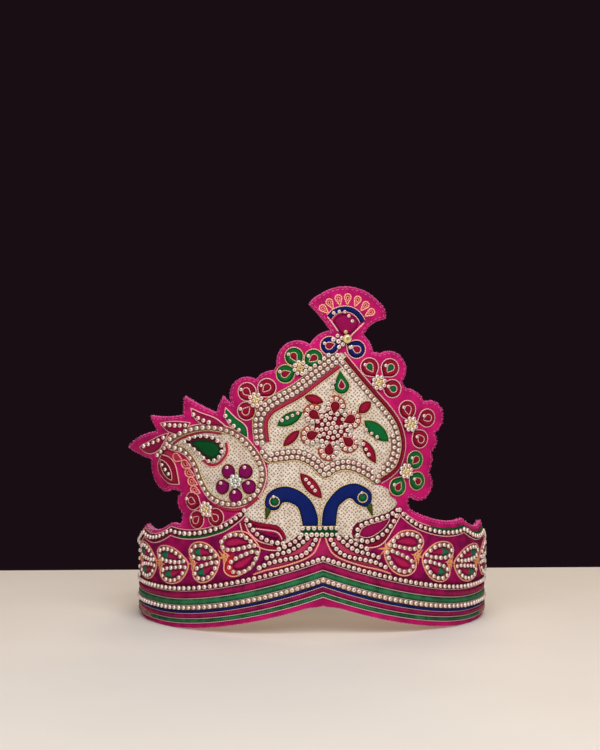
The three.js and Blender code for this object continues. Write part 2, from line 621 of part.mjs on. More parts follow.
// Peacocks, their collar and the rose wings below
const padded = (outline, seat) => plate(outline, seat, seat + PADDING);
for (const { side, neck, beak } of PEACOCKS) {
  add(`peacock_neck_${side}`, padded(curve(neck, true), ON_GROUND), BLUE, 0.5);
  add(`peacock_beak_${side}`, padded(lens(beak.from, beak.to, BEAK_WIDTH), ON_GROUND), GREEN, 0.5);
}
addPearls('pearls_collar', bundle(COLLAR));
for (const [side, place] of [['left', (points) => points], ['right', mirror]]) {
  add(`rose_wing_${side}`, plate(curve(place(ROSE_WING), true), GROUND_BASE, GROUND_TOP), ROSE, 0.6);
  addPearls(`pearls_wing_${side}`, pearlString(place(WING_PEARLS), ON_GROUND));
}

// Leaves, drops and flowers
for (const [leaves, seat] of [[GROUND_LEAVES, ON_GROUND], [WALL_LEAVES, ON_WALL]]) {
  for (const { name, from, to, width, colour } of leaves) {
    add(name, padded(lens(from, to, width), seat), colour, 0.5);
  }
}
for (const [drops, seat] of [[GROUND_DROPS, ON_GROUND], [WALL_DROPS, ON_WALL]]) {
  for (const { name, tip, centre, radius, colour } of drops) {
    add(name, padded(drop(tip, centre, radius), seat), colour, 0.5);
  }
}
for (const { name, core, petals, colour } of TREFOILS) {
  add(name, padded(rosette(core, TREFOIL_CORE, petals, TREFOIL_PETAL), ON_WALL), colour, 0.5);
}
for (const { name, core, coreRadius, petals, petalRadius, colour } of GROUND_FLOWERS) {
  add(name, padded(rosette(core, coreRadius, petals, petalRadius), ON_GROUND), colour, 0.5);
}

// Pearls round the paisley, open by one step where the string starts and ends
addPearls('pearls_paisley', pearlString(curve(PAISLEY, true), ON_GROUND));

// Finial fan
add('fan_arc', ribbon(curve(FAN_ARC), FAN_ARC_WIDTH, ON_WALL, ON_WALL + PADDING), BLUE, 0.5);
add('fan_shield', padded(FAN_SHIELD, ON_WALL), MAGENTA, 0.5);

// The crown stands with the middle of its footprint on the origin
const box = new THREE.Box3().setFromObject(crown);
const middle = box.getCenter(new THREE.Vector3());
crown.position.set(-middle.x, -middle.y, -box.min.z);

export default crown;
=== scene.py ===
"""Dressed model of a mukut crown: velvet-covered card with padded satin, metallic cords and pearls.

Every piece is drawn flat in millimetres, as the card is cut, and then rolled round the head.
s is the arc length from the middle of the front and z the height.
lift is the distance out from the ring that the pattern is rolled round.
"""

from functools import partial

import bpy
import numpy as np
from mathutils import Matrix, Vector
from mathutils.geometry import delaunay_2d_cdt


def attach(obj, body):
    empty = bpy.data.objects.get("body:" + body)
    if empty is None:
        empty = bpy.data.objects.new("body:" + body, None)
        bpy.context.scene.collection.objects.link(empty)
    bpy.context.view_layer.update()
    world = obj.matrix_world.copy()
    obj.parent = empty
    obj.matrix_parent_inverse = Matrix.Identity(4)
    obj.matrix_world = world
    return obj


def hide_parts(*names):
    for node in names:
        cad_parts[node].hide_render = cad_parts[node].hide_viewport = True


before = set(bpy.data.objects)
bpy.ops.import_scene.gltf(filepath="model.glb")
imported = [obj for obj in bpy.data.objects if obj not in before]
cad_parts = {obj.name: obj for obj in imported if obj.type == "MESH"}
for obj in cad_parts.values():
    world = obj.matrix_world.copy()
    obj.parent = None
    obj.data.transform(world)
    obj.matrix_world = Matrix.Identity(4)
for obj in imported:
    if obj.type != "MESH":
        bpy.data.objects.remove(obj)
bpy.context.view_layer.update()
rng = np.random.default_rng(11)

MM = 0.001


def rows(columns, *lines):
    """Short table: one dictionary for each line, keyed by the names of the columns."""
    return [dict(zip(columns.split(), line)) for line in lines]


# Ring and wall
RING_CENTRE = (1.051, 0.4)
RING_RADIUS = 87.0
WALL_THICKNESS = 2.4
HALF_GIRTH = np.pi * RING_RADIUS - 0.3
FLARE = 0.8
FLARE_FROM = 52.0
FLARE_TO = 150.0

# Lower edge and scalloped rim
NOTCH_RISE = 15.7
NOTCH_REACH = 89.0
PEAKS_AT = [0, 41.5, 80.3, 111, 152, 192, 232.5, np.pi * RING_RADIUS]
PEAKS_RIGHT = [60, 57.6, 51, 48, 41.5, 41, 41, 41]
PEAKS_LEFT = [60, 57.6, 49.4, 46.8, 41.5, 41, 41, 41]
SWAG_SAG = 3.2
EDGE_STEP = 1.4
SWAG_STEPS = 28
SEAM_STEPS = 32

# Rounding of the wall's edge and of the notch's peak, tape over the back seam, and frayed stretches
EDGE_ROUND = 1.5
PEAK_ROUND = 1.5
PEAK_ROUND_REACH = 5.0
SEAM_TAPE = 4.4
PEARLS_END = HALF_GIRTH - SEAM_TAPE / 2 - 1
FRAYED_HEM = 68
TUFT = {"from": -109, "to": -100, "below": 60}

# Heights of the pearl rows above the lower edge at the front. Rows and stripes close up towards the sides.
PEARL_ROW_LOW = 10.3
PEARL_ROW_MID = 20.2
ROWS_CLOSE_UP = 0.084
ROWS_CLOSE_UP_REACH = 85.0
PEARL_ROW_BELOW_RIM = 4.8
PEARL_ROW_PANEL_DROP = 2.0
PANEL_DROP_REACH = 84.0
TOP_ROW_START = 46.0

# Lifts of the velvet's face, the couched grounds and the velvet fields, and seats sunk a little into them
FACE = 0.8
GROUND_TOP = 1.4
FIELD_TOP = 1.4
SUNK = 0.1
ON_FACE = FACE - SUNK
ON_GROUND = GROUND_TOP - SUNK
ON_FIELD = FIELD_TOP - SUNK
WALL_MIDDLE = FACE - WALL_THICKNESS / 2

# Pads: height, fill, share of the height at the edge, ridge and hollow of petals, stitch slant, and mesh
PAD = 1.3
PAD_FILL = 0.7
HEART_FILL = 0.6
LIP = 0.3
PETAL_RIDGE = 1.2
PETAL_HOLLOW = 0.5
LEAF_SLANT = 60
GRID_ROW = 0.87
RING_CLEAR = 0.92

# Pearls, spaced further apart towards the sides, and fibres of frayed pile
PEARL_RADIUS = 1.08
PEARL_PITCH = 2.4
PEARL_SUNK = 0.35
PEARL_UNEVEN = 0.05
SIDE_SPACING = 0.48
SIDE_REACH = 95.0
BEAD_CUP = 0.12
BEAD_PROFILE = [(0.62, -0.6), (1.0, -0.1), (0.94, 0.38), (0.68, 0.72), (0.4, 0.76)]
FIBRE_THICK = 0.12

# Scale of a wave texture that gives one thread for each millimetre
WAVE_SCALE = 0.314

# Edge of the front panel from the right of the band over the top to the left of the band.
# Each row is one lobe or leaf edge: the point that it swells through, then the cusp that ends it.
PANEL_START = (41.4, 60.2)
PANEL_EDGE = [
    ((41.8, 61.8), (43.2, 63.2)),
    ((55.2, 66.2), (53, 74)),
    ((54.7, 78.8), (54, 83.5)),
    ((56.7, 88.2), (55.1, 92.4)),
    ((59.6, 101.6), (49, 106.8)),
    ((45.2, 111), (39.6, 113)),
    ((38.2, 114.6), (37.4, 116.5)),
    ((38.6, 125), (26.6, 128.8)),
    ((24.8, 129.4), (23.3, 129)),
    ((21.9, 133.4), (18.6, 137.4)),
    ((22.3, 142.2), (29, 145)),
    ((28.9, 148.7), (25.7, 152.7)),
    ((12, 159.4), (-1.3, 155.6)),
    ((-4.2, 153.8), (-6.2, 151.4)),
    ((-1, 145.8), (3.8, 139.2)),
    ((-1.6, 137.4), (-5.8, 132.7)),
    ((-14.5, 134.1), (-20.9, 124.1)),
    ((-21.4, 122.4), (-22.6, 121)),
    ((-26.4, 120.2), (-30.6, 116.8)),
    ((-40.3, 116), (-41.6, 105.4)),
    ((-44.2, 107.2), (-46.4, 109.5)),
    ((-48.4, 105.2), (-49.6, 101.7)),
    ((-57.2, 104.9), (-65.9, 109.6)),
    ((-67.2, 105), (-67, 100.8)),
    ((-77, 99.9), (-87, 100.6)),
    ((-86, 96.8), (-83.8, 93.2)),
    ((-98, 90.2), (-111.5, 85.1)),
    ((-101, 81.6), (-91.4, 79.7)),
    ((-93.8, 71.6), (-81.3, 65.4)),
    ((-76, 65.4), (-71.8, 64)),
    ((-75.9, 59.2), (-71.8, 54.5)),
    ((-72.9, 52.7), (-72.9, 50.8)),
]

# Striped trim of the band: each stripe is a low and a high edge above the crown's lower edge
STRIPES = rows(
    "thread low high",
    ("green", 2.8, 4.5),
    ("magenta", 5.1, 7.4),
    ("blue", 7.5, 8.9),
    ("green", 11.7, 14.5),
    ("magenta", 15.1, 18.3),
)
STRIPE_LINES = [2.6, 4.8, 7.4, 11.5, 14.8, 18.7]

# Grounds of the panel
DOME_LEFT = [(8, 129.2), (2.3, 124.9), (-4.9, 119.4), (-12.6, 113.5), (-19.9, 109.4), (-26.3, 105.3),
             (-30, 99.4), (-30.3, 93.9), (-29.6, 88)]
DOME_FLOOR = [(-27.4, 84), (-24.2, 80.6), (-18, 81.2), (-11, 81.6), (-4.6, 78.6), (0.9, 73.6), (5.2, 76.2),
              (11, 77.2), (18, 74.8), (24.6, 70.6)]
DOME_RIGHT = [(9.4, 129), (14.6, 122.7), (24, 111.8), (31.2, 104), (36.2, 96.7), (38.6, 87), (36.5, 77.8),
              (32.6, 73.4), (27, 70)]
PEACOCK_GROUND = [(-24.6, 79.6), (-18, 80.4), (-11, 80.8), (-5, 77.8), (0.9, 72.8), (5.6, 75.4), (11, 76.4),
                  (17.6, 74), (24.2, 69.6), (30.4, 67), (31.6, 63.9), (34.8, 61.6), (34.6, 58.6),
                  (30, 54.8), (22, 52.8), (16.8, 51), (14.4, 47.8), (16.6, 43.6), (16.4, 41.8),
                  (12.6, 42.8), (8.6, 45.2), (6.3, 46), (-9.4, 46), (-12.6, 43.6), (-16.6, 41), (-17.4, 43),
                  (-18.2, 46.6), (-20.4, 49.8), (-26, 50.8), (-33, 52.2), (-36.4, 54.4), (-36.6, 56.8),
                  (-33.6, 59.8), (-29, 63.6), (-25.8, 68.6), (-25.2, 74)]
PAISLEY = [(-77, 87.2), (-68.1, 92.4), (-55.9, 95), (-44, 93.6), (-34.6, 87.6), (-27.7, 76.6),
           (-28.8, 67.4), (-34.6, 61.6), (-44.5, 59.8), (-53.4, 63), (-58.6, 70), (-61.8, 78), (-67.4, 84)]
PAISLEY_TAIL = [(-79.4, 85.3), (-84.9, 81.8)]

# Velvet fields of the band: their front edge on each side, from the middle pearl row up to the top one
FIELD_FRONT = {1: [(31, 27.6), (25.8, 36), (22, 38.8), (24.6, 40.7), (28.9, 43.1), (32.7, 48.4),
               (36.6, 54.6), (39, 54.4)], -1: [(-32, 27.4), (-25.6, 35.8), (-20.6, 38.8), (-25.5, 39.3),
               (-30.4, 41.2), (-34.1, 43.8), (-36.8, 46.8), (-38.3, 51.4), (-40, 53.2)]}
TOP_ROW_LEAD = [(35.9, 57.2), (37.9, 55.2), (42.2, 52)]

# Sliver of green thread along part of the top pearl row, its height above the row, and line under the row
TOP_ROW_GREEN = {
    "right": {"from": 54, "to": 116, "above": 1.3, "line": 1.8},
    "left": {"from": 43, "to": 74, "above": -1.8, "line": 2.6},
}

# Peacocks: angle of the stitches, middle of the eye, tip and root of the beak, and outline of neck and head
PEACOCKS = rows(
    "grain eye beak neck",
    (30, (-21.5, 61.5), ((-25.9, 52), (-24.6, 57.9)),
     [(-2.2, 50.4), (-2.1, 51), (-2.4, 55.6), (-5.4, 62.2), (-11.2, 67), (-18, 68.5), (-24.3, 65.7),
      (-26.4, 60.8), (-24.8, 57.6), (-20.3, 57.6), (-17.6, 61), (-13.5, 60.2), (-10.9, 57.7), (-9.3, 51),
      (-9.3, 50.4)]),
    (150, (17.6, 63.3), ((22.9, 53.6), (21, 59.5)),
     [(5.8, 50.4), (5.9, 51), (6.8, 58.2), (9.1, 61.2), (12.3, 62.8), (15.5, 60), (20.2, 58.8),
      (22.4, 62.4), (21.2, 66.6), (14.6, 69.8), (7.7, 68.1), (2.7, 63.1), (0, 58), (-0.9, 51),
      (-0.9, 50.4)]),
)
PEACOCK_LINE = [(-1.5, 50.5), (-1.5, 62)]
COLLAR_BAND = [(-10, 48.1), (6.6, 48.1)]
COLLAR_ROWS = [((-9.6, 46.6), (6.1, 46.6)), ((-9.1, 49.5), (6.1, 49.6))]

# Trefoils round the panel: bead core, petal middles, thread of the petals and of the drops on them
TREFOILS = rows(
    "node thread drop core petals",
    ("trefoil_left", "crimson", "crimson", (-30.4, 107.6),
     [(-34.6, 111.4), (-25.4, 113.2), (-34.9, 102.6)]),
    ("trefoil_upper_left", "green", "crimson", (-10.2, 122.1),
     [(-13.1, 127.4), (-4.2, 126.6), (-17, 119.5)]),
    ("trefoil_top", "blue", "crimson", (9.1, 134.4), [(3, 132.4), (15.3, 130.8)]),
    ("trefoil_upper_right", "crimson", "green", (25.6, 115.6),
     [(21.4, 122.7), (31.1, 122.4), (32.3, 112.9)]),
    ("trefoil_right", "crimson", "crimson", (41.3, 96.6), [(39.8, 103.3), (50.2, 99.4), (46.7, 89.7)]),
    ("trefoil_lower_right", "green", "crimson", (39.3, 75), [(44.4, 80), (45.8, 70.2), (35.4, 67.8)]),
    ("trefoil_lower_left", "crimson", "crimson", (-56, 57.2), [(-64.6, 60.6), (-62.1, 51.9), (-51, 53.4)]),
)
TREFOIL_PETAL = 3.9

# Flower and bud of the dome, and flower of the paisley
DOME_FLOWER = (3.7, 94.9)
DOME_PETALS = [(5.4, 104.8), (12.4, 98.9), (11.5, 88.4), (2.6, 84.7), (-5.3, 91.5), (-4.3, 101.1)]
BUD = {"tip": (7.6, 121.3), "middle": (8.4, 113.9), "radius": 3.4, "beads": [(4.8, 115.8), (4.3, 113.3)]}
PAISLEY_FLOWER = (-40, 70.5)
PAISLEY_PETALS = [(-43.8, 74.8), (-35.3, 75), (-47, 67.6), (-33.6, 67.9), (-40.3, 63.6)]
PAISLEY_BAND = [(-73.4, 87.3), (-67.2, 90.3), (-56, 92.9), (-47, 92.2)]
PAISLEY_DROP = [(-62.4, 88.1), (-55.7, 89.2), (-50.2, 88.1), (-47.5, 85.1), (-49, 81.7), (-52.6, 80.6),
                (-57.2, 83.5)]
PAISLEY_DROP_RING = [(-66, 88.4), (-61.1, 90.5), (-54.9, 91.1), (-49.5, 89.7), (-46.2, 85.7), (-48.3, 81.1),
                     (-53.6, 79.5), (-58.2, 82.9), (-62.5, 86.1)]
PAISLEY_UNDER = [(-50.9, 59), (-46.3, 57.6), (-39.7, 57.2), (-34.6, 59), (-29.4, 63.2)]
PAISLEY_CRESCENT = [(-56.9, 79.9), (-53.2, 77.8), (-49, 78.4), (-45.8, 81.2), (-44.2, 84.4), (-44.6, 88)]

# Leaves in the panel: tips, width, thread, and where a row of so many beads starts and ends on it
LEAVES = rows(
    "node tips width thread beads",
    ("leaf_green_left", ((-20.8, 95.8), (-9, 102.2)), 5.4, "green", ((-18.3, 98.4), (-11.3, 101.6), 4)),
    ("leaf_green_right", ((18.6, 98.4), (30.5, 88.6)), 6.2, "green", ((19.3, 94.1), (24.3, 90.8), 3)),
    ("leaf_red_upper_left", ((-8.6, 109.3), (0.4, 106.5)), 4.0, "crimson", None),
    ("leaf_red_upper_right", ((16.2, 101.6), (21.9, 106.9)), 4.4, "crimson", None),
    ("leaf_red_lower_left", ((-10.4, 94), (-18, 86.4)), 3.8, "crimson", None),
    ("leaf_red_lower_right", ((17.9, 89.8), (24.2, 78.6)), 4.4, "crimson", ((17.9, 87.6), (20.4, 82.8), 3)),
    ("almond_middle", ((-10.4, 74.6), (-0.4, 62.8)), 5.4, "crimson", ((-7.6, 71.6), (-3.6, 66.6), 4)),
)

# Leaves of the left wing: upper and lower edge between the same two tips, thread, and row of beads
BLADES = rows(
    "node thread upper lower beads",
    ("almond_side", "crimson", [(-82.6, 82), (-77.3, 80.8), (-74, 77), (-72.7, 68.1)],
     [(-82.6, 82), (-86.4, 77.4), (-86.2, 72.8), (-80.6, 68.5), (-72.7, 68.1)], None),
    ("wing_leaf_1", "wine", [(-99, 85.2), (-89.5, 88.4), (-83, 90.6), (-76, 92.4)],
     [(-99, 85.2), (-95, 82.9), (-89.9, 82.4), (-83, 84.8), (-76, 92.4)],
     [(-93, 86), (-84.1, 88.2), (-78.4, 90.2)]),
    ("wing_leaf_2", "wine", [(-80.8, 96.9), (-75, 97.7), (-69, 97.7), (-63.2, 97.2)],
     [(-80.8, 96.9), (-76.6, 93.3), (-71, 91.9), (-66.2, 93.3), (-63.2, 97.2)],
     [(-76.8, 96.3), (-70.5, 95.9), (-65, 96)]),
    ("wing_leaf_3", "wine", [(-62.6, 104), (-57, 101.7), (-50, 99.3), (-44.1, 95)],
     [(-62.6, 104), (-60.6, 99.4), (-56.4, 96.5), (-50, 95.6), (-44.1, 95)],
     [(-60.4, 101), (-57.2, 99), (-52.6, 97.4)]),
    ("wing_leaf_4", "green", [(-44.9, 104.2), (-40.4, 99.8), (-35.2, 95.6), (-34.2, 90)],
     [(-44.9, 104.2), (-45, 99.4), (-41, 94.4), (-34.2, 90)], [(-44.4, 100.4), (-41.6, 96.8), (-38, 94)]),
)
ALMOND_CORE = ((-83, 79.6), (-76.6, 70))
ALMOND_BEADS = [(-81, 77.2), (-79.2, 75), (-77.3, 73)]

# Foot of the panel: the rose wing on the left with its pearl rows and cord; the right side mirrors it
ROSE_WING = [(-31.6, 28.6), (-24, 30.9), (-16.6, 32.9), (-10, 35.4), (-5.4, 38.6), (-2.6, 43.6),
             (-5.6, 45.6), (-9.4, 43), (-14, 39.4), (-20, 37.4), (-25.4, 35.2)]
WING_ROWS = [
    [(-3.4, 44.3), (-6.4, 39.5), (-10.8, 36.7), (-18.4, 35), (-24, 33.5), (-28.6, 31.3)],
    [(-7, 45), (-10.8, 41.8), (-15.3, 39), (-20.5, 37.6), (-25.2, 35.9)],
    [(-10.4, 45.2), (-13.6, 42.7), (-19.6, 40)],
]
WING_CORD = [(-1, 45.3), (-2.2, 41.9), (-4.1, 38.3), (-7.6, 35.8), (-12.8, 33.7), (-18.9, 31.8),
             (-26.3, 30), (-31.8, 28)]

# Drops at the foot of the panel: dark core, pearl rows, thread strips with their widths, and light lines
DROPS = rows(
    "ringed core pearls strips lines",
    (False,
     [(-29.6, 47.6), (-25.6, 47.3), (-21.6, 46.6), (-19.8, 45), (-21.6, 44.7), (-25, 45.6), (-27.8, 46.6)],
     [[(-34.7, 52.7), (-31.5, 48.4), (-27.7, 45.2), (-22.8, 43.1), (-17.8, 42.6)]],
     [(2.2, [(-37.2, 51.2), (-35.2, 46.9), (-31.6, 43.4), (-26.8, 40.9), (-21.4, 40.4)]),
      (2.3, [(-33, 51.8), (-28.4, 50.6), (-23.9, 50.2), (-20, 49), (-17.9, 46.7), (-17.3, 44.4)])],
     [[(-38.3, 51.4), (-36.8, 46.8), (-34.1, 43.8), (-30.4, 41.2), (-25.5, 39.5), (-20.5, 39.2)],
      [(-35.8, 51.3), (-33.6, 46.9), (-28.9, 43.2), (-22.5, 41.6)], [(-31.4, 49), (-25.6, 48.4),
      (-21.1, 47.7), (-19, 45.8), (-18.4, 44)]]),
    (True,
     [(16.6, 46), (17.8, 49.2), (21.2, 50.8), (26, 52), (31, 53.2), (28.8, 49.6), (24.6, 46.5), (20.4, 45)],
     [[(15.4, 46.2), (15.4, 48.6), (17.4, 50.7), (22.4, 52.5), (27, 53.8), (31, 55), (34.6, 57.2)],
      [(17.4, 43.8), (20, 43.2), (25.2, 45), (29.4, 47.9), (32.5, 51.6), (34.2, 54.6)]],
     [(1.2, [(14.2, 44.6), (13.4, 47.4), (14.2, 49.9), (16.1, 52)]), (1.8, [(18.5, 41.4), (22.4, 41.6),
      (26.6, 43.2), (30.2, 46.6), (33.4, 51.2), (35.8, 55)])],
     [[(18.5, 40.3), (24.6, 40.6), (28.9, 43), (32.7, 48.2), (36.8, 54.4)]]),
)

# Garland of hearts along the front and sides: tips to the front, upper lobes leaning to the back.
# Hearts reach from one tip to the next. Points of a heart of the drawn size are measured from its tip,
# back along the band and up from the middle of the garland.
HEART_TIPS = {"right": [27.8, 48, 69.6, 98, 126], "left": [27.8, 48, 66, 91.6, 118]}
HEART_DRAWN = 20.3
HEART_LEANS = [0.42, 0.26, 0.22, 0.2]
HEART_HEIGHT = 29.4
HEART_NOTCH_SHARE = 1.65
HEART_TALL = 8.2
HEART_TALL_SHARE = 0.2
HEART_DRAWN_TALL = 9
RED_HEART_LEAN = 0.15
GARLAND_LEVEL_BEFORE = 33.0
HEART_EDGE = [(0.8, 0), (2.8, 4.2), (6.8, 8), (11.6, 9.5), (16.2, 9), (19.2, 6.2), (18.6, 2.6), (16.4, 0)]
HEART_RING = [(2.4, 1.6), (4.6, 4.6), (7.6, 6.9), (11, 7.9), (14.6, 7.7), (17.2, 6.1), (17.2, 3.9),
              (15, 2.4), (11.6, 1.7), (8, 1.4), (4.8, 1.2)]
HEART_CORE = [(5, 2.6), (6.8, 4.5), (9.2, 5.9), (12, 6.5), (14.4, 6.2), (15.7, 5.2), (15.2, 4.1),
              (13.2, 3.2), (10, 2.8), (7.4, 2.6)]
HEART_BACK = [(11, 3), (10.6, 6.2), (12.6, 6.5), (14.5, 6.1), (15.7, 5.1), (15.1, 4.1), (13.2, 3.2)]
HEART_BED = [(13.4, 1.4), (16, 0.2), (18.4, -2.6), (19.2, -6), (16.6, -8.5), (12.4, -8.9), (14.4, -6.6),
             (14.8, -3), (13.4, -0.8)]
HEART_KNOT = [((14.6, 0), (22.4, 0), 1.2), ((17, -3.4), (20.2, 3.4), 1.0), ((17, 3.4), (20.2, -3.4), 1.0)]
FIRST_KNOT_FORWARD = 17.3
END_ROWS = {"right": 128.0, "left": 120.0}

# Loose salmon threads that lie over the lower trim at each side: where they start and end
LOOSE_THREADS = [((101, 2.6), (121, 5.4)), ((99, 3.4), (119, 6.4)), ((104, 3), (124, 4.6)), ((106, 4.8),
                 (123, 6.6)), ((97, 2.4), (113, 4)), ((108, 3.4), (125, 6))]

# Finial fan: cord loops over a blue arc and a dark shield, with beads and light lines
FAN_MIDDLE = (10.2, 140)
FAN_LOOPS = [(0.3, 149.1), (3.2, 151.7), (7.2, 153.5), (11.3, 154), (15.7, 153), (19.3, 150.7),
             (21.8, 147.6)]
FAN_ARC = [(2.9, 145.4), (5.1, 147.7), (8, 148.9), (11.4, 149.1), (14.4, 148), (16.8, 145.8), (18.1, 143.5)]
FAN_ARC_WIDTH = 2.6
FAN_SHIELD = [(4.7, 143.3), (6.6, 145.9), (9, 146.8), (12.2, 146.6), (15, 145), (16.3, 142.6), (14, 138.9),
              (10.3, 137.4), (7.6, 138.6)]
FAN_LINES = [[(2, 145.6), (4.4, 142.6), (7, 138.8)], [(18.8, 143), (17.4, 141.4), (14, 138.2),
             (12.4, 136.2)]]
FAN_BEADS = [(4.8, 147.2), (7.3, 147.9), (9.8, 147.8), (11.6, 145.9), (13.2, 143.6)]
FAN_FOOT_PEARLS = [(6.5, 136.9), (4.6, 135.1), (6.9, 134.3), (8.5, 135.8), (9, 133), (7.2, 131.7),
                   (12.4, 131.6)]
FAN_FOOT_GOLD = [(10.8, 135.4, 2.0), (10.3, 138.6, 0.9)]

# Cord loops beside the paisley, and the red ground behind the first of them
LOOP_GROUND = ((-81.6, 84), (-65.6, 78.2))
SIDE_LOOPS = [(-72.2, 80.7), (-67.3, 77.6), (-65.6, 73.6), (-64.1, 69.6), (-62.8, 65.6)]

# Finishes: colours of the pile or thread, of its shade, and of the painted light along its cut edge
# The edge colours are paler, a painted highlight, except the magenta velvet's, which is darker, painted
# shade
VELVETS = rows(
    "name pile shade edge",
    ("pink_cotton_velvet", "#bc1463", "#940c4c", "#de5e9a"),
    ("deep_pink_cotton_velvet", "#9c1a50", "#740e3a", "#a84470"),
    ("magenta_cotton_velvet", "#960650", "#640438", "#6a083e"),
    ("pale_pink_chenille", "#f2569e", "#dc3c88", "#ff74b4"),
    ("pink_sewing_thread", "#da6aa0", "#c04a86", "#e27cac"),
    ("grey_pink_frayed_thread", "#a8647c", "#784458", "#b88498"),
)
# Satin and thread, and the laid ribbons below: colour of the thread and of the painted shade towards its
# edges
SATINS = rows(
    "name thread shade",
    ("crimson_satin_stitch", "#8f0c2e", "#470519"),
    ("rose_red_satin_stitch", "#b42c4a", "#781430"),
    ("magenta_satin_stitch", "#8e0848", "#440328"),
    ("plum_satin_stitch", "#7c0850", "#3c042c"),
    ("wine_satin_stitch", "#8e0c40", "#48041f"),
    ("rose_satin_stitch", "#b23456", "#761a3a"),
    ("green_satin_stitch", "#0e602f", "#06361a"),
    ("deep_green_satin_stitch", "#05471f", "#02280f"),
    ("olive_satin_stitch", "#3c4c1c", "#202a10"),
    ("blue_satin_stitch", "#071a5c", "#030a2a"),
    ("golden_orange_satin_stitch", "#ecb078", "#c48048"),
    ("scarlet_satin_stitch", "#b81e30", "#7a0c1e"),
    ("cerise_satin_stitch", "#ac1a4c", "#62082c"),
    ("sea_green_satin_stitch", "#1a7050", "#0a3c2a"),
    ("dark_crimson_satin_stitch", "#780c22", "#3a0412"),
    ("rust_satin_stitch", "#b8562c", "#7c3018"),
    ("salmon_thread_wrap", "#cc9484", "#9c5c58"),
    ("maroon_thread_bed", "#5c1428", "#300814"),
    ("khaki_thread_bed", "#a08254", "#5e4428"),
    ("fawn_thread_bed", "#96705f", "#5c3a32"),
)
LAID_RIBBONS = rows(
    "name thread shade spacing patch_size spread",
    ("green_laid_ribbon", "#2a6e44", "#0d2e1c", 0.9, 4.0, 2.0),
    ("magenta_laid_ribbon", "#960e4a", "#4a0428", 0.9, 4.0, 2.0),
    ("blue_laid_ribbon", "#141f6a", "#070c30", 0.9, 4.0, 2.0),
)
# Zari cords: metal colour, painted shade between the turns, and how metallic
ZARI_CORDS = rows(
    "name metal shade metallic",
    ("gold_zari_cord", "#dcc490", "#a88a54", 0.4),
    ("rose_gold_zari_cord", "#f2b6ac", "#cc8684", 0.1),
    ("pale_silver_zari_cord", "#dcbcb4", "#a8807c", 0.2),
    ("copper_zari_cord", "#f4a48c", "#d07460", 0.1),
)
# Pearls: three tones that vary at random, and the darker colour painted as a reflection in the middle of the
# face
PEARLS = rows(
    "name warm pale cool cup",
    ("pearl_lustre_acrylic", "#eec4ba", "#f2d8cc", "#e2d6c6", "#9c8078"),
    ("gold_lustre_acrylic", "#dcbc84", "#e6d2a0", "#ccae72", "#a88a58"),
    ("silver_lustre_acrylic", "#d8d4c8", "#e8e4da", "#c8ccc0", "#8a8880"),
)

# Studio: table top that ends behind the crown, soft lights and camera
TABLE = {"half": 1.4, "front": -1.4, "back": 0.189, "deep": 0.03}
TARGET = Vector((0.0, -0.03, 0.07))
LIGHTS = rows(
    "name place size power tint",
    ("key_softbox", (0.3, -1.3, 0.9), 0.9, 16, (0.98, 1.0, 1.0)),
    ("fill_softbox", (-0.5, -1.3, 0.75), 0.9, 9, (0.98, 1.0, 1.03)),
    ("top_softbox", (0.0, -0.1, 1.3), 0.9, 4.5, (1.0, 0.91, 0.8)),
    ("back_softbox", (0.3, 1.2, 0.8), 0.8, 5, (1.0, 0.7, 0.4)),
)
CAMERA_DISTANCE = 700.0
CAMERA_HEIGHT = 99.94
CAMERA_AZIMUTH = np.radians(-3.392)
CAMERA_PAN = np.radians(-0.490)
CAMERA_TILT = np.radians(1.783)
CAMERA_LENS = 64.56
CAMERA_SENSOR = 36


def pairs(*columns):
    """Points, or triangles, from the columns of their coordinates or corners."""
    return np.stack(columns, -1)


def joined(*parts):
    """One array from several, end to end."""
    return np.concatenate(parts)


def smooth_step(value):
    """Ease from 0 to 1: three squares less two cubes."""
    t = np.clip(value, 0, 1)
    return t * t * (3 - 2 * t)


def notch(s):
    """Height of the lower edge: a square falling from the front to nothing at the reach of the notch."""
    return NOTCH_RISE * np.clip(1 - np.abs(s) / NOTCH_REACH, 0, None) ** 2


def rim(s):
    """Height of the scalloped rim: parabolas hung between the peaks, some of them lower on the left."""
    at = np.abs(s)
    t = np.interp(at, PEAKS_AT, np.arange(len(PEAKS_AT))) % 1
    right, left = np.interp(at, PEAKS_AT, PEAKS_RIGHT), np.interp(at, PEAKS_AT, PEAKS_LEFT)
    return np.where(s < 0, left, right) - SWAG_SAG * 4 * t * (1 - t)


def top_row(s):
    """Height of the pearl row under the rim, which drops a little near the panel."""
    near_panel = np.clip(1 - np.abs(s) / PANEL_DROP_REACH, 0, None)
    return rim(np.abs(s)) - PEARL_ROW_BELOW_RIM - PEARL_ROW_PANEL_DROP * near_panel


def band_height(s, height):
    """Height of a row of the band: above the notched edge, closing up by a small share towards the sides."""
    return notch(s) + height * (1 - ROWS_CLOSE_UP * smooth_step(np.abs(s) / ROWS_CLOSE_UP_REACH))


def garland(s):
    """Height of the middle of the garland, which follows the notch and levels out at the front."""
    return HEART_HEIGHT + HEART_NOTCH_SHARE * notch(np.maximum(s, GARLAND_LEVEL_BEFORE))


def on_wall(s, z, lift):
    """Point of the flat pattern rolled round the head, in metres. The radius grows above the band."""
    radius = RING_RADIUS * (1 + FLARE * smooth_step((z - FLARE_FROM) / (FLARE_TO - FLARE_FROM)))
    angle = s / radius
    reach = radius + lift
    x = RING_CENTRE[0] + reach * np.sin(angle)
    y = RING_CENTRE[1] + radius - RING_RADIUS - reach * np.cos(angle)
    return MM * np.stack(np.broadcast_arrays(x, y, z), -1)


def reached(path, stretch=1.0):
    """Length walked along a path at each of its points, with each side divided by its stretch."""
    return joined([0], np.cumsum(np.hypot(*np.diff(path, axis=0).T) / stretch))


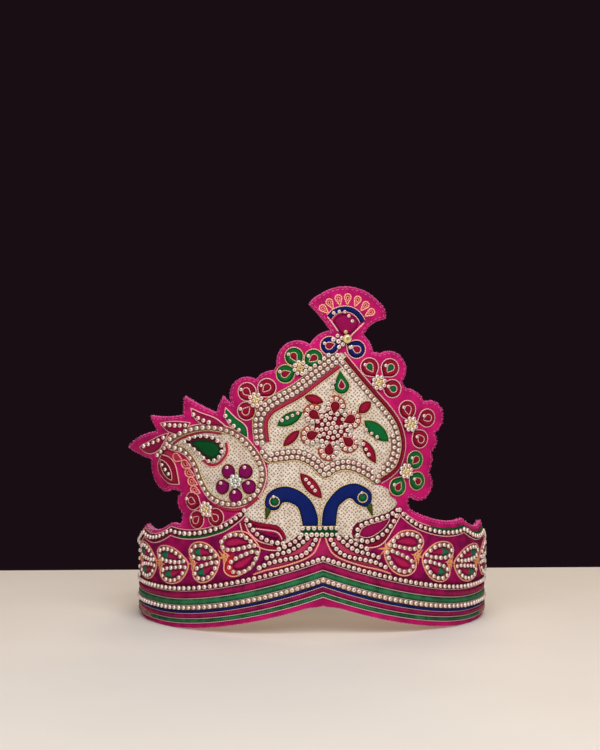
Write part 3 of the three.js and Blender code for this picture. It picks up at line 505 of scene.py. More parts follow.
def walked(path, step, stretch=1.0):
    """Path walked in equal steps of about the given length, times the stretch of each side."""
    path = np.asarray(path, float)
    reach = reached(path, stretch)
    at = np.linspace(0, reach[-1], max(2, int(round(reach[-1] / step))) + 1)
    return np.stack([np.interp(at, reach, path[:, k]) for k in (0, 1)], -1)


def spline(points, step, closed=False):
    """Smooth curve through a few points: cubics with slopes from each point's neighbours, walked evenly."""
    p = np.asarray(points, float)
    if closed:
        knots = joined(p[-1:], p, p[:2])
    else:
        knots = joined(2 * p[:1] - p[1:2], p, 2 * p[-1:] - p[-2:-1])
    a, b, c, d = knots[:-3], knots[1:-2], knots[2:-1], knots[3:]
    t = np.linspace(0, 1, 12, endpoint=False)[:, None, None]
    curve = 0.5 * (2 * b + (c - a) * t + (2 * a - 5 * b + 4 * c - d) * t**2 + (3 * b - a - 3 * c + d) * t**3)
    curve = joined(curve.transpose(1, 0, 2).reshape(-1, 2), p[:1] if closed else p[-1:])
    even = walked(curve, step)
    return even[:-1] if closed else even


def arc(start, through, end, step):
    """Circle arc through three points, walked evenly, without its first point."""
    a, b, c = (complex(*p) for p in (start, through, end))
    w = (c - a) / (b - a)
    centre = a - (a - b) * (w - abs(w) ** 2) / (2j * w.imag)
    turn = 2 * np.pi
    angle = np.angle((c - centre) / (a - centre)) % turn
    if w.imag < 0:
        angle -= turn
    steps = max(2, int(np.ceil(abs(angle) * abs(a - centre) / step)))
    points = centre + (a - centre) * np.exp(1j * angle * np.arange(1, steps + 1) / steps)
    return pairs(points.real, points.imag)


def headings(path, ring=False):
    """Unit direction of a path at each of its points, from the points on both sides of it."""
    along = np.roll(path, -1, 0) - np.roll(path, 1, 0) if ring else np.gradient(path, axis=0)
    return along / np.hypot(*along.T)[:, None]


def to_left(along):
    """Directions turned a quarter to the left."""
    return pairs(-along[:, 1], along[:, 0])


def heading_out(core, petal):
    """Unit direction from a core to a petal."""
    along = np.asarray(petal, float) - core
    return along / np.hypot(*along)


def offset(path, distance):
    """Path moved sideways, to the left of its direction when positive."""
    return path + distance * to_left(headings(path))


def blade(upper, lower, step=0.7):
    """Outline of a leaf from its two edges, both drawn from the same tip to the other."""
    return joined(spline(lower, step)[:-1], spline(upper, step)[:0:-1])


def lens(tips, width, step=0.7):
    """Outline of two arcs between two tips that bulge to a width."""
    start, end = (np.asarray(tip, float) for tip in tips)
    along = end - start
    side = np.array([-along[1], along[0]]) / np.hypot(*along) * width / 2
    middle = (start + end) / 2
    return joined(arc(start, middle - side, end, step), arc(end, middle + side, start, step))


def drop(tip, centre, radius, step=0.7):
    """Drop outline: a round end and two straight sides that run to the tip."""
    tip, centre = np.asarray(tip, float), np.asarray(centre, float)
    heading = np.arctan2(*(tip - centre)[::-1])
    tangent = np.arccos(radius / np.hypot(*(tip - centre)))
    angle = np.linspace(heading + tangent, heading + 2 * np.pi - tangent, max(8, int(5 * radius / step)))
    round_end = centre + radius * pairs(np.cos(angle), np.sin(angle))
    steps = max(2, int(np.hypot(*(tip - round_end[0])) / step))
    share = np.arange(steps)[:, None] / steps
    first = tip + (round_end[0] - tip) * share
    last = round_end[-1] + (tip - round_end[-1]) * share[1:]
    return joined(first, round_end, last)


def circle(centre, radius, steps=16, turn=0.0):
    """Round outline that starts at a heading in degrees."""
    angle = np.arange(steps) * 2 * np.pi / steps
    x, y = radius * np.cos(angle), radius * np.sin(angle)
    c, s = np.cos(np.radians(turn)), np.sin(np.radians(turn))
    return np.asarray(centre, float) + pairs(c * x - s * y, s * x + c * y)


def edge_distance(points, loop):
    """Distance from each point to the nearest side of a closed outline."""
    nearest = np.full(len(points), np.inf)
    for block in np.array_split(np.arange(len(loop)), max(1, len(loop) // 200)):
        a = loop[block]
        along = loop[(block + 1) % len(loop)] - a
        to = points[:, None] - a
        share = np.clip((to * along).sum(-1) / (along**2).sum(-1), 0, 1)
        gap = np.hypot(*np.moveaxis(to - share[..., None] * along, -1, 0))
        nearest = np.minimum(nearest, gap.min(1))
    return nearest


def inside(points, loop):
    """Whether each point lies within a closed outline, by counting the sides that a level ray crosses."""
    ahead = np.roll(loop, -1, 0)
    x, y = points[:, :1], points[:, 1:]
    spans = (loop[:, 1] > y) != (ahead[:, 1] > y)
    rise = np.where(ahead[:, 1] == loop[:, 1], 1, ahead[:, 1] - loop[:, 1])
    crossing = loop[:, 0] + (y - loop[:, 1]) / rise * (ahead[:, 0] - loop[:, 0])
    return (spans & (x < crossing)).sum(1) % 2 == 1


def rounded(depth, reach):
    """Share of a pad's height: a lip at its edge, then a quarter circle up to the crown at the reach."""
    share = np.clip(depth / reach, 0, 1)
    return LIP + (1 - LIP) * np.sqrt(1 - (1 - share) ** 2)


def plate(outline, top, base, pitch, grain=0.0, rings=()):
    """Closed plate on a flat outline. Top and base give the lift of its faces from the distance to the edge.

    The outline, a staggered grid inside it and any rings along it are joined by triangles on both faces,
    with a wall of quads along the edge.
    The UV map is the flat pattern in millimetres, turned by the grain's angle.
    """
    loop = np.asarray(outline, float)
    ahead = np.roll(loop, -1, 0)
    if (loop[:, 0] * ahead[:, 1] - loop[:, 1] * ahead[:, 0]).sum() < 0:
        loop = loop[::-1]
    low, high = loop.min(0), loop.max(0)
    levels = np.arange(low[1], high[1], pitch * GRID_ROW)[:, None]
    columns = np.arange(low[0] - pitch, high[0], pitch) + np.arange(len(levels))[:, None] % 2 * pitch / 2
    grid = np.stack(np.broadcast_arrays(columns, levels), -1).reshape(-1, 2)
    inner = [(grid, max(rings, default=0) + 0.5 * pitch)]
    closed = joined(loop[-1:], loop, loop[:1])
    inner += [(offset(closed, distance)[1:-1], RING_CLEAR * distance) for distance in rings]
    points = [loop]
    for candidates, least in inner:
        candidates = candidates[inside(candidates, loop)]
        points.append(candidates[edge_distance(candidates, loop) > least])
    corners = [Vector(p) for p in np.concatenate(points)]
    flat, _, faces, *_ = delaunay_2d_cdt(corners, [], [list(range(len(loop)))], 1, 1e-5, False)
    flat, faces = np.array(flat), np.array(faces)
    faces = faces[inside(flat[faces].mean(1), loop)]
    depth = edge_distance(flat, loop)
    count = len(flat)
    edges = faces[:, [[0, 1], [1, 2], [2, 0]]].reshape(-1, 2)
    lone = ~np.isin(edges[:, 0] * count + edges[:, 1], edges[:, 1] * count + edges[:, 0])
    p, q = edges[lone].T
    wall = joined(pairs(p, p + count, q + count), pairs(p, q + count, q))
    angle = np.radians(grain)
    turned = flat @ np.array([[np.cos(angle), -np.sin(angle)], [np.sin(angle), np.cos(angle)]])
    return {
        "points": joined(on_wall(*flat.T, top(depth)), on_wall(*flat.T, base(depth))),
        "triangles": joined(faces, faces[:, ::-1] + count, wall),
        "uv": joined(turned, turned),
        "tone": joined(depth, depth),
        "under": joined(np.zeros(len(faces)), np.ones(len(faces)), np.zeros(len(wall))),
    }


def pad(outline, seat, height=PAD, pitch=0.8, reach=1.8, grain=0.0):
    """Padded patch: rounded from its edge up to the crown at the given reach."""
    def top(depth):
        return seat + height * rounded(depth, reach)

    return plate(outline, top, lambda depth: seat + 0 * depth, pitch, grain)


def petal_pad(outline, seat, height=PAD):
    """Padded petal: a ridge round its edge that falls to a hollow in the middle for a small drop."""
    def top(depth):
        hollow = smooth_step((depth - PETAL_RIDGE) / PETAL_RIDGE)
        return seat + height * (rounded(depth, PETAL_RIDGE) - PETAL_HOLLOW * hollow)

    return plate(outline, top, lambda depth: seat + 0 * depth, pitch=0.7)


def tube_triangles(stations, sides, ring=False):
    """Skin over closed sections in a row; fans to two middle points close the ends, if it isn't a ring."""
    index = np.arange(stations * sides).reshape(stations, sides)
    here, there = (index, np.roll(index, -1, 0)) if ring else (index[:-1], index[1:])
    here_next, there_next = np.roll(here, -1, 1), np.roll(there, -1, 1)
    faces = [pairs(here, here_next, there_next), pairs(here, there_next, there)]
    if not ring:
        first, last = np.full(sides, index.size), np.full(sides, index.size + 1)
        faces.append(pairs(first, np.roll(index[0], -1), index[0]))
        faces.append(pairs(last, index[-1], np.roll(index[-1], -1)))
    return np.concatenate([face.reshape(-1, 3) for face in faces])


def sweep(path, section, ring=False):
    """Closed section of (sideways, lift) points carried along a flat path and rolled onto the wall.

    The UV map runs along the path in millimetres and once round the section.
    The tone is the distance from the nearer side of the section.
    """
    path = np.asarray(path, float)
    flat = path[:, None] + to_left(headings(path, ring))[:, None] * section[:, :1]
    points = on_wall(flat[..., 0], flat[..., 1], section[:, 1])
    u, v = reached(path), np.arange(len(section)) / len(section)
    uv = np.stack(np.broadcast_arrays(u[:, None], v), -1).reshape(-1, 2)
    tone = np.abs(section[:, 0]).max() - np.abs(section[:, 0])
    ends = np.array([] if ring else [0, -1], int)
    return {
        "points": joined(points.reshape(-1, 3), points[ends].mean(1)),
        "triangles": tube_triangles(len(path), len(section), ring),
        "uv": joined(uv, pairs(u[ends], np.full(len(ends), 0.5))),
        "tone": joined(np.tile(tone, len(path)), np.zeros(len(ends))),
    }


def cord(path, seat, radius, ring=False, sides=6):
    """Round cord along a flat path, a quarter of its radius pressed into what it lies on."""
    angle = np.arange(sides) * 2 * np.pi / sides
    section = pairs(radius * np.cos(angle), seat + radius * (0.75 + np.sin(angle)))
    return sweep(path, section, ring)


def ribbon(path, width, seat, height, ring=False):
    """Flat ribbon along a path: half an ellipse on low upright sides, over a straight back."""
    angle = np.linspace(0, np.pi, 7)
    section = pairs(width / 2 * np.cos(angle), seat + height * (0.25 + 0.75 * np.sin(angle)))
    under = np.array([[-width / 2, seat], [width / 2, seat]])
    return sweep(path, joined(section, under), ring)


def running_stitch(path, length=1.7, gap=0.55, step=0.3):
    """Running stitches along a path: short cords with gaps between them."""
    count = int(reached(path)[-1] / (length + gap))
    spots = walked(path, step)
    starts = np.linspace(0, len(spots) - 1, count + 1)[:-1].astype(int)
    reach = int(length / step)
    return [cord(spots[at:at + reach + 1:2], FACE - 0.25, radius=0.17, sides=4)
            for at in starts if at + reach < len(spots)]


def bead_shape(sides=9):
    """Half pearl of a few dozen faces: a turned profile of (radius, height) rows with a shallow cup on top.

    The share of each point runs from the cup, at 0, to the underside, at 1.
    """
    profile = np.array(BEAD_PROFILE)
    turn = 2 * np.pi * np.arange(sides) / sides
    radius, height = profile[:, :1], profile[:, 1:]
    skin = pairs(radius * np.cos(turn), radius * np.sin(turn), height + 0 * turn).reshape(-1, 3)
    middles = [(0, 0, profile[0, 1]), (0, 0, profile[-1, 1] - BEAD_CUP)]
    share = np.repeat(1 - np.arange(len(profile)) / len(profile), sides)
    triangles = tube_triangles(len(profile), sides)
    return joined(skin, middles), triangles, joined(share, [1, 0])


BEAD_POINTS, BEAD_TRIANGLES, BEAD_SHARE = bead_shape()


def beads(places, seat, radius=PEARL_RADIUS):
    """Half pearls sewn down at flat places, facing out of the wall, each with a size and tone of its own.

    The UV map runs from the middle of the face, at 0, to the underside, at 1.
    """
    places = np.asarray(places, float).reshape(-1, 2)
    count = len(places)
    centres = on_wall(*places.T, seat + radius - PEARL_SUNK)
    out = (on_wall(*places.T, 1.0) - on_wall(*places.T, 0.0)) / MM
    up = np.broadcast_to([0.0, 0.0, 1.0], out.shape)
    sizes = radius * (1 + PEARL_UNEVEN * rng.standard_normal(count))
    axes = np.stack([np.cross(up, out), up, out], 1) * sizes[:, None, None]
    points = centres[:, None] + MM * BEAD_POINTS @ axes
    triangles = BEAD_TRIANGLES + (np.arange(count) * len(BEAD_POINTS))[:, None, None]
    tone = np.repeat(rng.random(count), len(BEAD_POINTS))
    uv = np.tile(pairs(BEAD_SHARE, 0 * BEAD_SHARE), (count, 1))
    return {"points": points.reshape(-1, 3), "triangles": triangles.reshape(-1, 3), "uv": uv, "tone": tone}


def bead_row(path, seat, pitch=PEARL_PITCH, radius=PEARL_RADIUS, closed=False):
    """Row of beads along a path, a little further apart towards the sides of the crown."""
    path = np.asarray(path, float)
    if closed:
        path = joined(path, path[:1])
    middle = np.abs(path[1:, 0] + path[:-1, 0]) / 2
    places = walked(path, pitch, 1 + SIDE_SPACING * smooth_step(middle / SIDE_REACH))
    return beads(places[:-1] if closed else places, seat, radius)


def cluster(core, seat, rings, radius):
    """Beads in rings about a core: each ring is a radius and a count."""
    return beads(np.concatenate([circle(core, *ring, turn=17) for ring in rings]), seat, radius)


def fibres(path, spacing, length):
    """Frayed pile along a path: slender three-sided spikes that lean out to its right, of uneven length."""
    path = walked(path, spacing)
    along = headings(path)
    out = -to_left(along)
    count = len(path)
    lift = rng.uniform(-WALL_THICKNESS * 0.8, FACE * 0.6, count)
    reach = length * rng.uniform(0.3, 1, count)
    foot = path - 0.3 * out
    tip = path + out * reach[:, None] + along * (reach * rng.uniform(-0.7, 0.7, count))[:, None]
    tip_lift = lift + 0.6 * reach * rng.uniform(-1, 1, count)
    corners = [
        on_wall(*(foot + FIBRE_THICK * along).T, lift),
        on_wall(*foot.T, lift + 1.7 * FIBRE_THICK),
        on_wall(*(foot - FIBRE_THICK * along).T, lift),
        on_wall(*tip.T, tip_lift),
    ]
    points = np.stack(corners, 1).reshape(-1, 3)
    triangles = np.array([(0, 1, 2), (1, 0, 3), (2, 1, 3), (0, 2, 3)]) + 4 * np.arange(count)[:, None, None]
    return {"points": points, "triangles": triangles.reshape(-1, 3), "uv": np.zeros((len(points), 2)),
            "tone": np.zeros(len(points))}


def linear(code):
    """Linear colour from an sRGB hex code."""
    channel = np.array([int(code[i:i + 2], 16) for i in (1, 3, 5)]) / 255
    value = np.where(channel <= 0.04045, channel / 12.92, ((channel + 0.055) / 1.055) ** 2.4)
    return (*value.tolist(), 1.0)


def per_metre(size):
    """Texture scale for features of a size in millimetres on Object coordinates."""
    return 1 / (MM * size)


# Sockets of a colour mix: its share, its colours at none and all of the share, and its result
SHARE, NONE, FULL, MIXED = 0, 6, 7, 2


def put(tree, kind, inputs=None, out=0, **settings):
    """Adds a node, sets its options, and fills its sockets from values or from other nodes' outputs.

    Gives one of the node's outputs, or the node itself when no output is named.
    """
    node = tree.nodes.new(f"ShaderNode{kind}")
    for name, value in settings.items():
        setattr(node, name, value)
    for name, value in (inputs or {}).items():
        if isinstance(value, bpy.types.NodeSocket):
            tree.links.new(value, node.inputs[name])
        else:
            node.inputs[name].default_value = value
    return node if out is None else node.outputs[out]


def finish(name, build, bump=None, **sockets):
    """Material with one principled shader, whose constants are the sockets.

    Build adds nodes and gives a share, the two colours that it mixes, and the height of the bump.
    The bump is a strength and a depth in millimetres.
    """
    material = bpy.data.materials.new(name)
    material.use_nodes = True
    tree = material.node_tree
    tree.nodes.clear()
    add = partial(put, tree)
    share, none, full, height = build(add)
    inputs = {key.replace("_", " "): value for key, value in sockets.items()}
    inputs["Base Color"] = add("Mix", {SHARE: share, NONE: none, FULL: full}, MIXED, data_type="RGBA")
    if bump:
        inputs["Normal"] = add("Bump", {"Strength": bump[0], "Distance": bump[1] * MM, "Height": height})
    add("OutputMaterial", {"Surface": add("BsdfPrincipled", inputs)}, None)
    return material


def velvet(name, pile, shade, edge):
    """Cotton velvet: matt short pile that lies in patches, with sheen where it is seen edge on.

    Towards the cut edge the colour turns to the edge colour, which is painted light: a highlight where it is
    paler, shade where it is darker.
    """
    def build(add):
        place = add("TexCoord", out="Object")
        patch = add("TexNoise", {"Vector": place, "Scale": per_metre(7), "Detail": 4.0})
        share = add("MapRange", {"Value": patch, "From Min": 0.36, "From Max": 0.64})
        ground = add("Mix", {SHARE: share, NONE: linear(shade), FULL: linear(pile)}, MIXED, data_type="RGBA")
        depth = add("Attribute", out="Fac", attribute_name="tone")
        fuzz = add("TexNoise", {"Vector": place, "Scale": per_metre(0.9), "Detail": 2.0})
        frayed = add("Math", {0: fuzz, 1: 0.9, 2: depth}, operation="MULTIPLY_ADD")
        # Share of the edge colour near the cut edge: painted highlight on the paler edges, painted shade on
        # the darker one
        fall = {"From Min": 0.3, "From Max": 0.95, "To Min": 0.9, "To Max": 0.0}
        near = add("MapRange", {"Value": frayed, **fall})
        return near, ground, linear(edge), fuzz

    finish(name, build, (0.5, 0.4), Roughness=0.9, Sheen_Weight=0.12, Sheen_Roughness=0.4,
           Sheen_Tint=linear(edge), Specular_IOR_Level=0.1)


def satin(name, thread, shade, spacing=0.7, patch_size=2.5, spread=0.6):
    """Satin stitch in floss: parallel threads with a soft shine, with painted shade towards the edge, where
    they turn down.

    Threads are really about 0.3 mm apart; they are drawn coarser so that they show.
    """
    def build(add):
        wave = {"Scale": WAVE_SCALE / spacing, "Distortion": 1.2, "Detail": 1.0, "Detail Scale": 0.6}
        threads = add("TexWave", {"Vector": add("TexCoord", out="UV"), **wave}, "Fac")
        place = add("TexCoord", out="Object")
        patch = add("TexNoise", {"Vector": place, "Scale": per_metre(patch_size), "Detail": 2.0})
        depth = add("Attribute", out="Fac", attribute_name="tone")
        # Painted shade: the share falls from the crown of a pad or ribbon to its edge
        crown = add("MapRange", {"Value": depth, "From Max": 1.3, "To Min": 0.15, "To Max": 0.8})
        patches_and_painted_shade = add("Math", {0: patch, 1: spread, 2: crown}, operation="MULTIPLY_ADD")
        share = add("Math", {0: threads, 1: 0.25, 2: patches_and_painted_shade}, operation="MULTIPLY_ADD")
        tint = add("MapRange", {"Value": share, "From Min": spread / 2, "From Max": 1.02 + spread / 2})
        return tint, linear(shade), linear(thread), threads

    finish(name, build, (0.6, 0.25), Roughness=0.45, Specular_IOR_Level=0.06)


def zari(name, metal, shade, metallic, pitch=1.1):
    """Zari cord: metal strip wound round thread, its turns slanting across the cord with painted shade
    between them.
    """
    def build(add):
        flat = add("TexCoord", out="UV")
        phase = add("VectorMath", {0: flat, 1: (1 / pitch, 1.0, 0.0)}, "Value", operation="DOT_PRODUCT")
        turns = add("Math", {0: phase, 1: 2 * np.pi}, operation="MULTIPLY")
        wave = add("Math", {0: turns}, operation="SINE")
        # Painted shade between the turns and the metal's own colour on them; the same pattern drives the
        # bump
        share = add("MapRange", {"Value": wave, "From Min": -1.0, "From Max": 0.4})
        return share, linear(shade), linear(metal), share

    finish(name, build, (0.4, 0.2), Metallic=metallic, Roughness=0.38)


def couched_ground(name, hole_pitch=1.35):
    """Ground filled with couched silver-white cord: loops in staggered rows, the holes between them darkened
    as painted shade.
    """
    def build(add):
        turned = add("Mapping", {"Vector": add("TexCoord", out="UV"), "Rotation": (0, 0, np.radians(45))})
        loops = {"Scale": 1 / hole_pitch, "Randomness": 0.45}
        cells = add("TexVoronoi", {"Vector": turned, **loops}, "Distance", voronoi_dimensions="2D")
        # Painted shade in the holes between the loops, which also sink in the bump
        shaded_holes = add("MapRange", {"Value": cells, "From Min": 0.1, "From Max": 0.34})
        place = add("TexCoord", out="Object")
        patch = add("TexNoise", {"Vector": place, "Scale": per_metre(5), "Detail": 3.0})
        warm = add("MapRange", {"Value": patch, "From Min": 0.38, "From Max": 0.62})
        cloth = add("Mix", {SHARE: warm, NONE: linear("#c6b29e"), FULL: linear("#d6c5b5")}, MIXED,
                    data_type="RGBA")
        return shaded_holes, linear("#75635a"), cloth, shaded_holes

    finish(name, build, (0.8, 0.35), Roughness=0.6, Specular_IOR_Level=0.4)


def pearl(name, warm, pale, cool, cup):
    """Pearl bead: moulded acrylic with a nacre coat, some pinker and some greener, with painted reflection
    and shade.
    """
    def build(add):
        ramp = add("ValToRGB", {"Fac": add("Attribute", out="Fac", attribute_name="tone")}, None)
        ramp.color_ramp.elements[0].color = linear(warm)
        ramp.color_ramp.elements[1].color = linear(cool)
        ramp.color_ramp.elements.new(0.5).color = linear(pale)
        share = add("SeparateXYZ", {"Vector": add("TexCoord", out="UV")}, "X")
        # Painted reflection: the middle of the face takes the darker colour
        painted_reflection_share = add("MapRange", {"Value": share, "From Min": 0.12, "From Max": 0.34})
        face = add("Mix", {SHARE: painted_reflection_share, NONE: linear(cup), FULL: ramp.outputs["Color"]}, MIXED,
                   data_type="RGBA")
        # Painted shade on the underside, where the bead meets its bed
        fall = {"From Min": 0.62, "From Max": 0.9, "To Min": 1.0, "To Max": 0.25}
        painted_skirt_shade = add("MapRange", {"Value": share, **fall})
        return painted_skirt_shade, linear("#3a1c22"), face, None

    finish(name, build, Metallic=0.25, Roughness=0.24, Coat_Weight=0.5, Coat_Roughness=0.08)


def lining(name, thread_pitch=0.8):
    """Plain-woven cotton lining: dusty pink with a fine weave, drawn coarser than life so that it shows."""
    def build(add):
        flat = add("TexCoord", out="UV")
        threads = {"Scale": 1 / thread_pitch, "Randomness": 0.25}
        weave = add("TexVoronoi", {"Vector": flat, **threads}, "Distance", voronoi_dimensions="2D",
                    distance="CHEBYCHEV")
        place = add("TexCoord", out="Object")
        patch = add("TexNoise", {"Vector": place, "Scale": per_metre(14), "Detail": 4.0})
        return patch, linear("#7d4a58"), linear("#b98c92"), weave

    finish(name, build, (0.5, 0.2), Roughness=0.95, Specular_IOR_Level=0.2)


for make, table in ((velvet, VELVETS), (satin, SATINS + LAID_RIBBONS), (zari, ZARI_CORDS), (pearl, PEARLS)):
    for row in table:
        make(**row)
couched_ground("couched_silver_ground")
lining("dusty_pink_cotton_lining")


def piece(name, parts, finish_name, slot, nodes=(), fill=None, under_finish=None):
    """Joins parts into one object on the crown that stands for CAD nodes. The record slot is not used.

    The fill of a padded piece is not used, and the underside of a plate may have a finish of its own.
    """
    starts = np.cumsum([0] + [len(part["points"]) for part in parts[:-1]])
    points, uv, tone = (np.concatenate([part[key] for part in parts]) for key in ("points", "uv", "tone"))
    triangles = np.concatenate([part["triangles"] + start for part, start in zip(parts, starts)])
    mesh = bpy.data.meshes.new(name)
    mesh.vertices.add(len(points))
    mesh.vertices.foreach_set("co", points.astype(np.float32).ravel())
    mesh.loops.add(triangles.size)
    mesh.loops.foreach_set("vertex_index", triangles.astype(np.int32).ravel())
    mesh.polygons.add(len(triangles))
    mesh.polygons.foreach_set("loop_start", np.arange(0, triangles.size, 3, dtype=np.int32))
    mesh.polygons.foreach_set("use_smooth", np.ones(len(triangles), bool))
    mesh.materials.append(bpy.data.materials[finish_name])
    if under_finish:
        under = np.concatenate([part["under"] for part in parts])
        mesh.polygons.foreach_set("material_index", under.astype(np.int32))
        mesh.materials.append(bpy.data.materials[under_finish])
    mesh.uv_layers.new(name="flat").data.foreach_set("uv", uv[triangles.ravel()].astype(np.float32).ravel())
    mesh.attributes.new("tone", "FLOAT", "POINT").data.foreach_set("value", tone.astype(np.float32))
    mesh.update(calc_edges=True)
    mesh.validate()
    made = bpy.data.objects.new(name, mesh)
    bpy.context.scene.collection.objects.link(made)
    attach(made, "root")
    if nodes:
        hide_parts(*nodes)


# Finishes and slots that recur. Parts of most pieces are gathered, and these pieces are made at the end.
PEARL = ("pearl_lustre_acrylic", "pearl")
VELVET = ("pink_cotton_velvet", "pink_velvet")
gathered = {}


def gather(name, *parts):
    """Adds parts to a piece."""
    gathered.setdefault(name, []).extend(parts)


def sew(thread, outline, seat, **sizes):
    """Pad sewn in a thread, with the sizes of a pad."""
    gather(f"{thread}_pads", pad(outline, seat, **sizes))


def couch(kind, path, seat, radius, ring=False):
    """Cord of a kind laid along a path."""
    gather(f"{kind}_lines", cord(path, seat, radius, ring))


def bead(places, seat, radius):
    """Pearls set at single places."""
    gather("motif_beads", beads(places, seat, radius))


def pearl_row(name, path, seat=GROUND_TOP, width=2.7, bed="thread_beds"):
    """Row of pearls on a bed of thread that shows between them."""
    gather(name, bead_row(path, seat))
    gather(bed, ribbon(walked(path, 1.0), width=width, seat=seat - 0.15, height=0.35))


def wall_outline():
    """Closed outline of the flat wall, its upper edge (right rim, panel, left rim) and its lower edge."""
    s = np.linspace(-HALF_GIRTH, HALF_GIRTH, int(2 * HALF_GIRTH / EDGE_STEP) // 2 * 2 + 1)
    lower = pairs(s, notch(s) - PEAK_ROUND * np.exp(-(s / PEAK_ROUND_REACH) ** 2))
    rims = {}
    for sign, start in ((1, PANEL_START[0] + 1), (-1, 1 - PANEL_EDGE[-1][1][0])):
        stops = [start, *(at for at in PEAKS_AT if start < at < HALF_GIRTH), HALF_GIRTH]
        swags = len(stops) - 1
        s = np.interp(np.linspace(0, swags, SWAG_STEPS * swags + 1), np.arange(swags + 1), stops)
        rims[sign] = pairs(sign * s, rim(sign * s))
    panel = [np.array([PANEL_START])]
    for through, end in PANEL_EDGE:
        panel.append(arc(panel[-1][-1], through, end, EDGE_STEP))
    upper = joined(rims[1][::-1], *panel, rims[-1])
    share = np.linspace(0, 1, SEAM_STEPS)[1:-1, None]
    right_seam = lower[-1] + (upper[0] - lower[-1]) * share
    left_seam = upper[-1] + (lower[0] - upper[-1]) * share
    return joined(lower, right_seam, upper, left_seam), upper, lower


def wall_face(depth):
    """Lift of the wall's outer face, rounded at its edge."""
    return WALL_MIDDLE + WALL_THICKNESS / 2 * rounded(depth, EDGE_ROUND)


def wall_back(depth):
    """Lift of the wall's inner face, which mirrors the outer one."""
    return 2 * WALL_MIDDLE - wall_face(depth)


# Wall: card under velvet, rounded at its edge, with a cotton lining inside, frayed pile and running stitches
wall_edge, upper_edge, lower_edge = wall_outline()
wall = plate(wall_edge, wall_face, wall_back, pitch=2.6, rings=(0.35, 1.1))
piece("velvet_wall", [wall], *VELVET, ["crown_wall"], under_finish="dusty_pink_cotton_lining")
hem = lower_edge[np.abs(lower_edge[:, 0]) < FRAYED_HEM]
pile = [fibres(upper_edge[::-1], spacing=0.22, length=0.95), fibres(hem[::-1], spacing=0.4, length=0.5)]
piece("frayed_pile", pile, "pale_pink_chenille", "pink_velvet")
s, z = upper_edge.T
tuft = upper_edge[(s > TUFT["from"]) & (s < TUFT["to"]) & (z < TUFT["below"])]
tuft = fibres(tuft[::-1], spacing=0.05, length=5.2)
piece("frayed_tuft", [tuft], "grey_pink_frayed_thread", "pink_velvet")
piece("edge_stitches", running_stitch(offset(upper_edge, 1.1)), "pink_sewing_thread", "pink_velvet")
seam = [(np.pi * RING_RADIUS, 0.4), (np.pi * RING_RADIUS, rim(HALF_GIRTH) - 0.4)]
tape = ribbon(walked(seam, 1.0), width=SEAM_TAPE, seat=ON_FACE, height=1.6)
piece("back_seam_tape", [tape], *VELVET)


def round_girth(height):
    """Path round the whole ring at a height of the band."""
    s = joined(np.linspace(-HALF_GIRTH, -1, 180), [0], np.linspace(1, HALF_GIRTH, 180))
    return pairs(s, band_height(s, height))


# Striped trim and the two pearl rows round the whole ring
for thread in ("green", "magenta", "blue"):
    stripes = [
        ribbon(round_girth((row["low"] + row["high"]) / 2), width=row["high"] - row["low"],
               seat=ON_FACE, height=1.1)
        for row in STRIPES if row["thread"] == thread
    ]
    stands_for = ["trim_band_lower", "trim_band_upper"] if thread == "magenta" else []
    piece(f"trim_stripes_{thread}", stripes, f"{thread}_laid_ribbon", f"{thread}_satin", stands_for)
lines = [cord(round_girth(height), FACE + 0.3, radius=0.2) for height in STRIPE_LINES]
piece("trim_lines", lines, "pale_silver_zari_cord", "copper_cord")
for name, height, thread, slot in (("low", PEARL_ROW_LOW, "khaki", "copper_cord"),
                                   ("mid", PEARL_ROW_MID, "maroon", "crimson_satin")):
    row = round_girth(height)
    bed = ribbon(row, width=2.8, seat=ON_FACE, height=0.4)
    piece(f"row_{name}_bed", [bed], f"{thread}_thread_bed", slot)
    row = row[np.abs(row[:, 0]) < PEARLS_END]
    piece(f"row_{name}_pearls", [bead_row(row, FACE + 0.2)], *PEARL, [f"pearls_row_{name}"])

for sign in (1, -1):
    for start, end in LOOSE_THREADS:
        middle = (np.add(start, end) + (0, rng.uniform(-1, 1))) / 2
        gather("loose_threads", cord(spline([start, middle, end], 1.0) * (sign, 1), FACE + 0.6, radius=0.3))


def on_garland(points, lean, sign, tip, next_tip):
    """Points of a heart set on the garland of one side, stretched from its tip to the next, and leaning."""
    stretch = (next_tip - tip) / HEART_DRAWN
    tall = (HEART_TALL + HEART_TALL_SHARE * notch((tip + next_tip) / 2)) / HEART_DRAWN_TALL
    x, y = np.asarray(points, float).T
    return pairs(sign * (tip + stretch * (x + lean * y)), garland(tip + stretch * x) + tall * y)


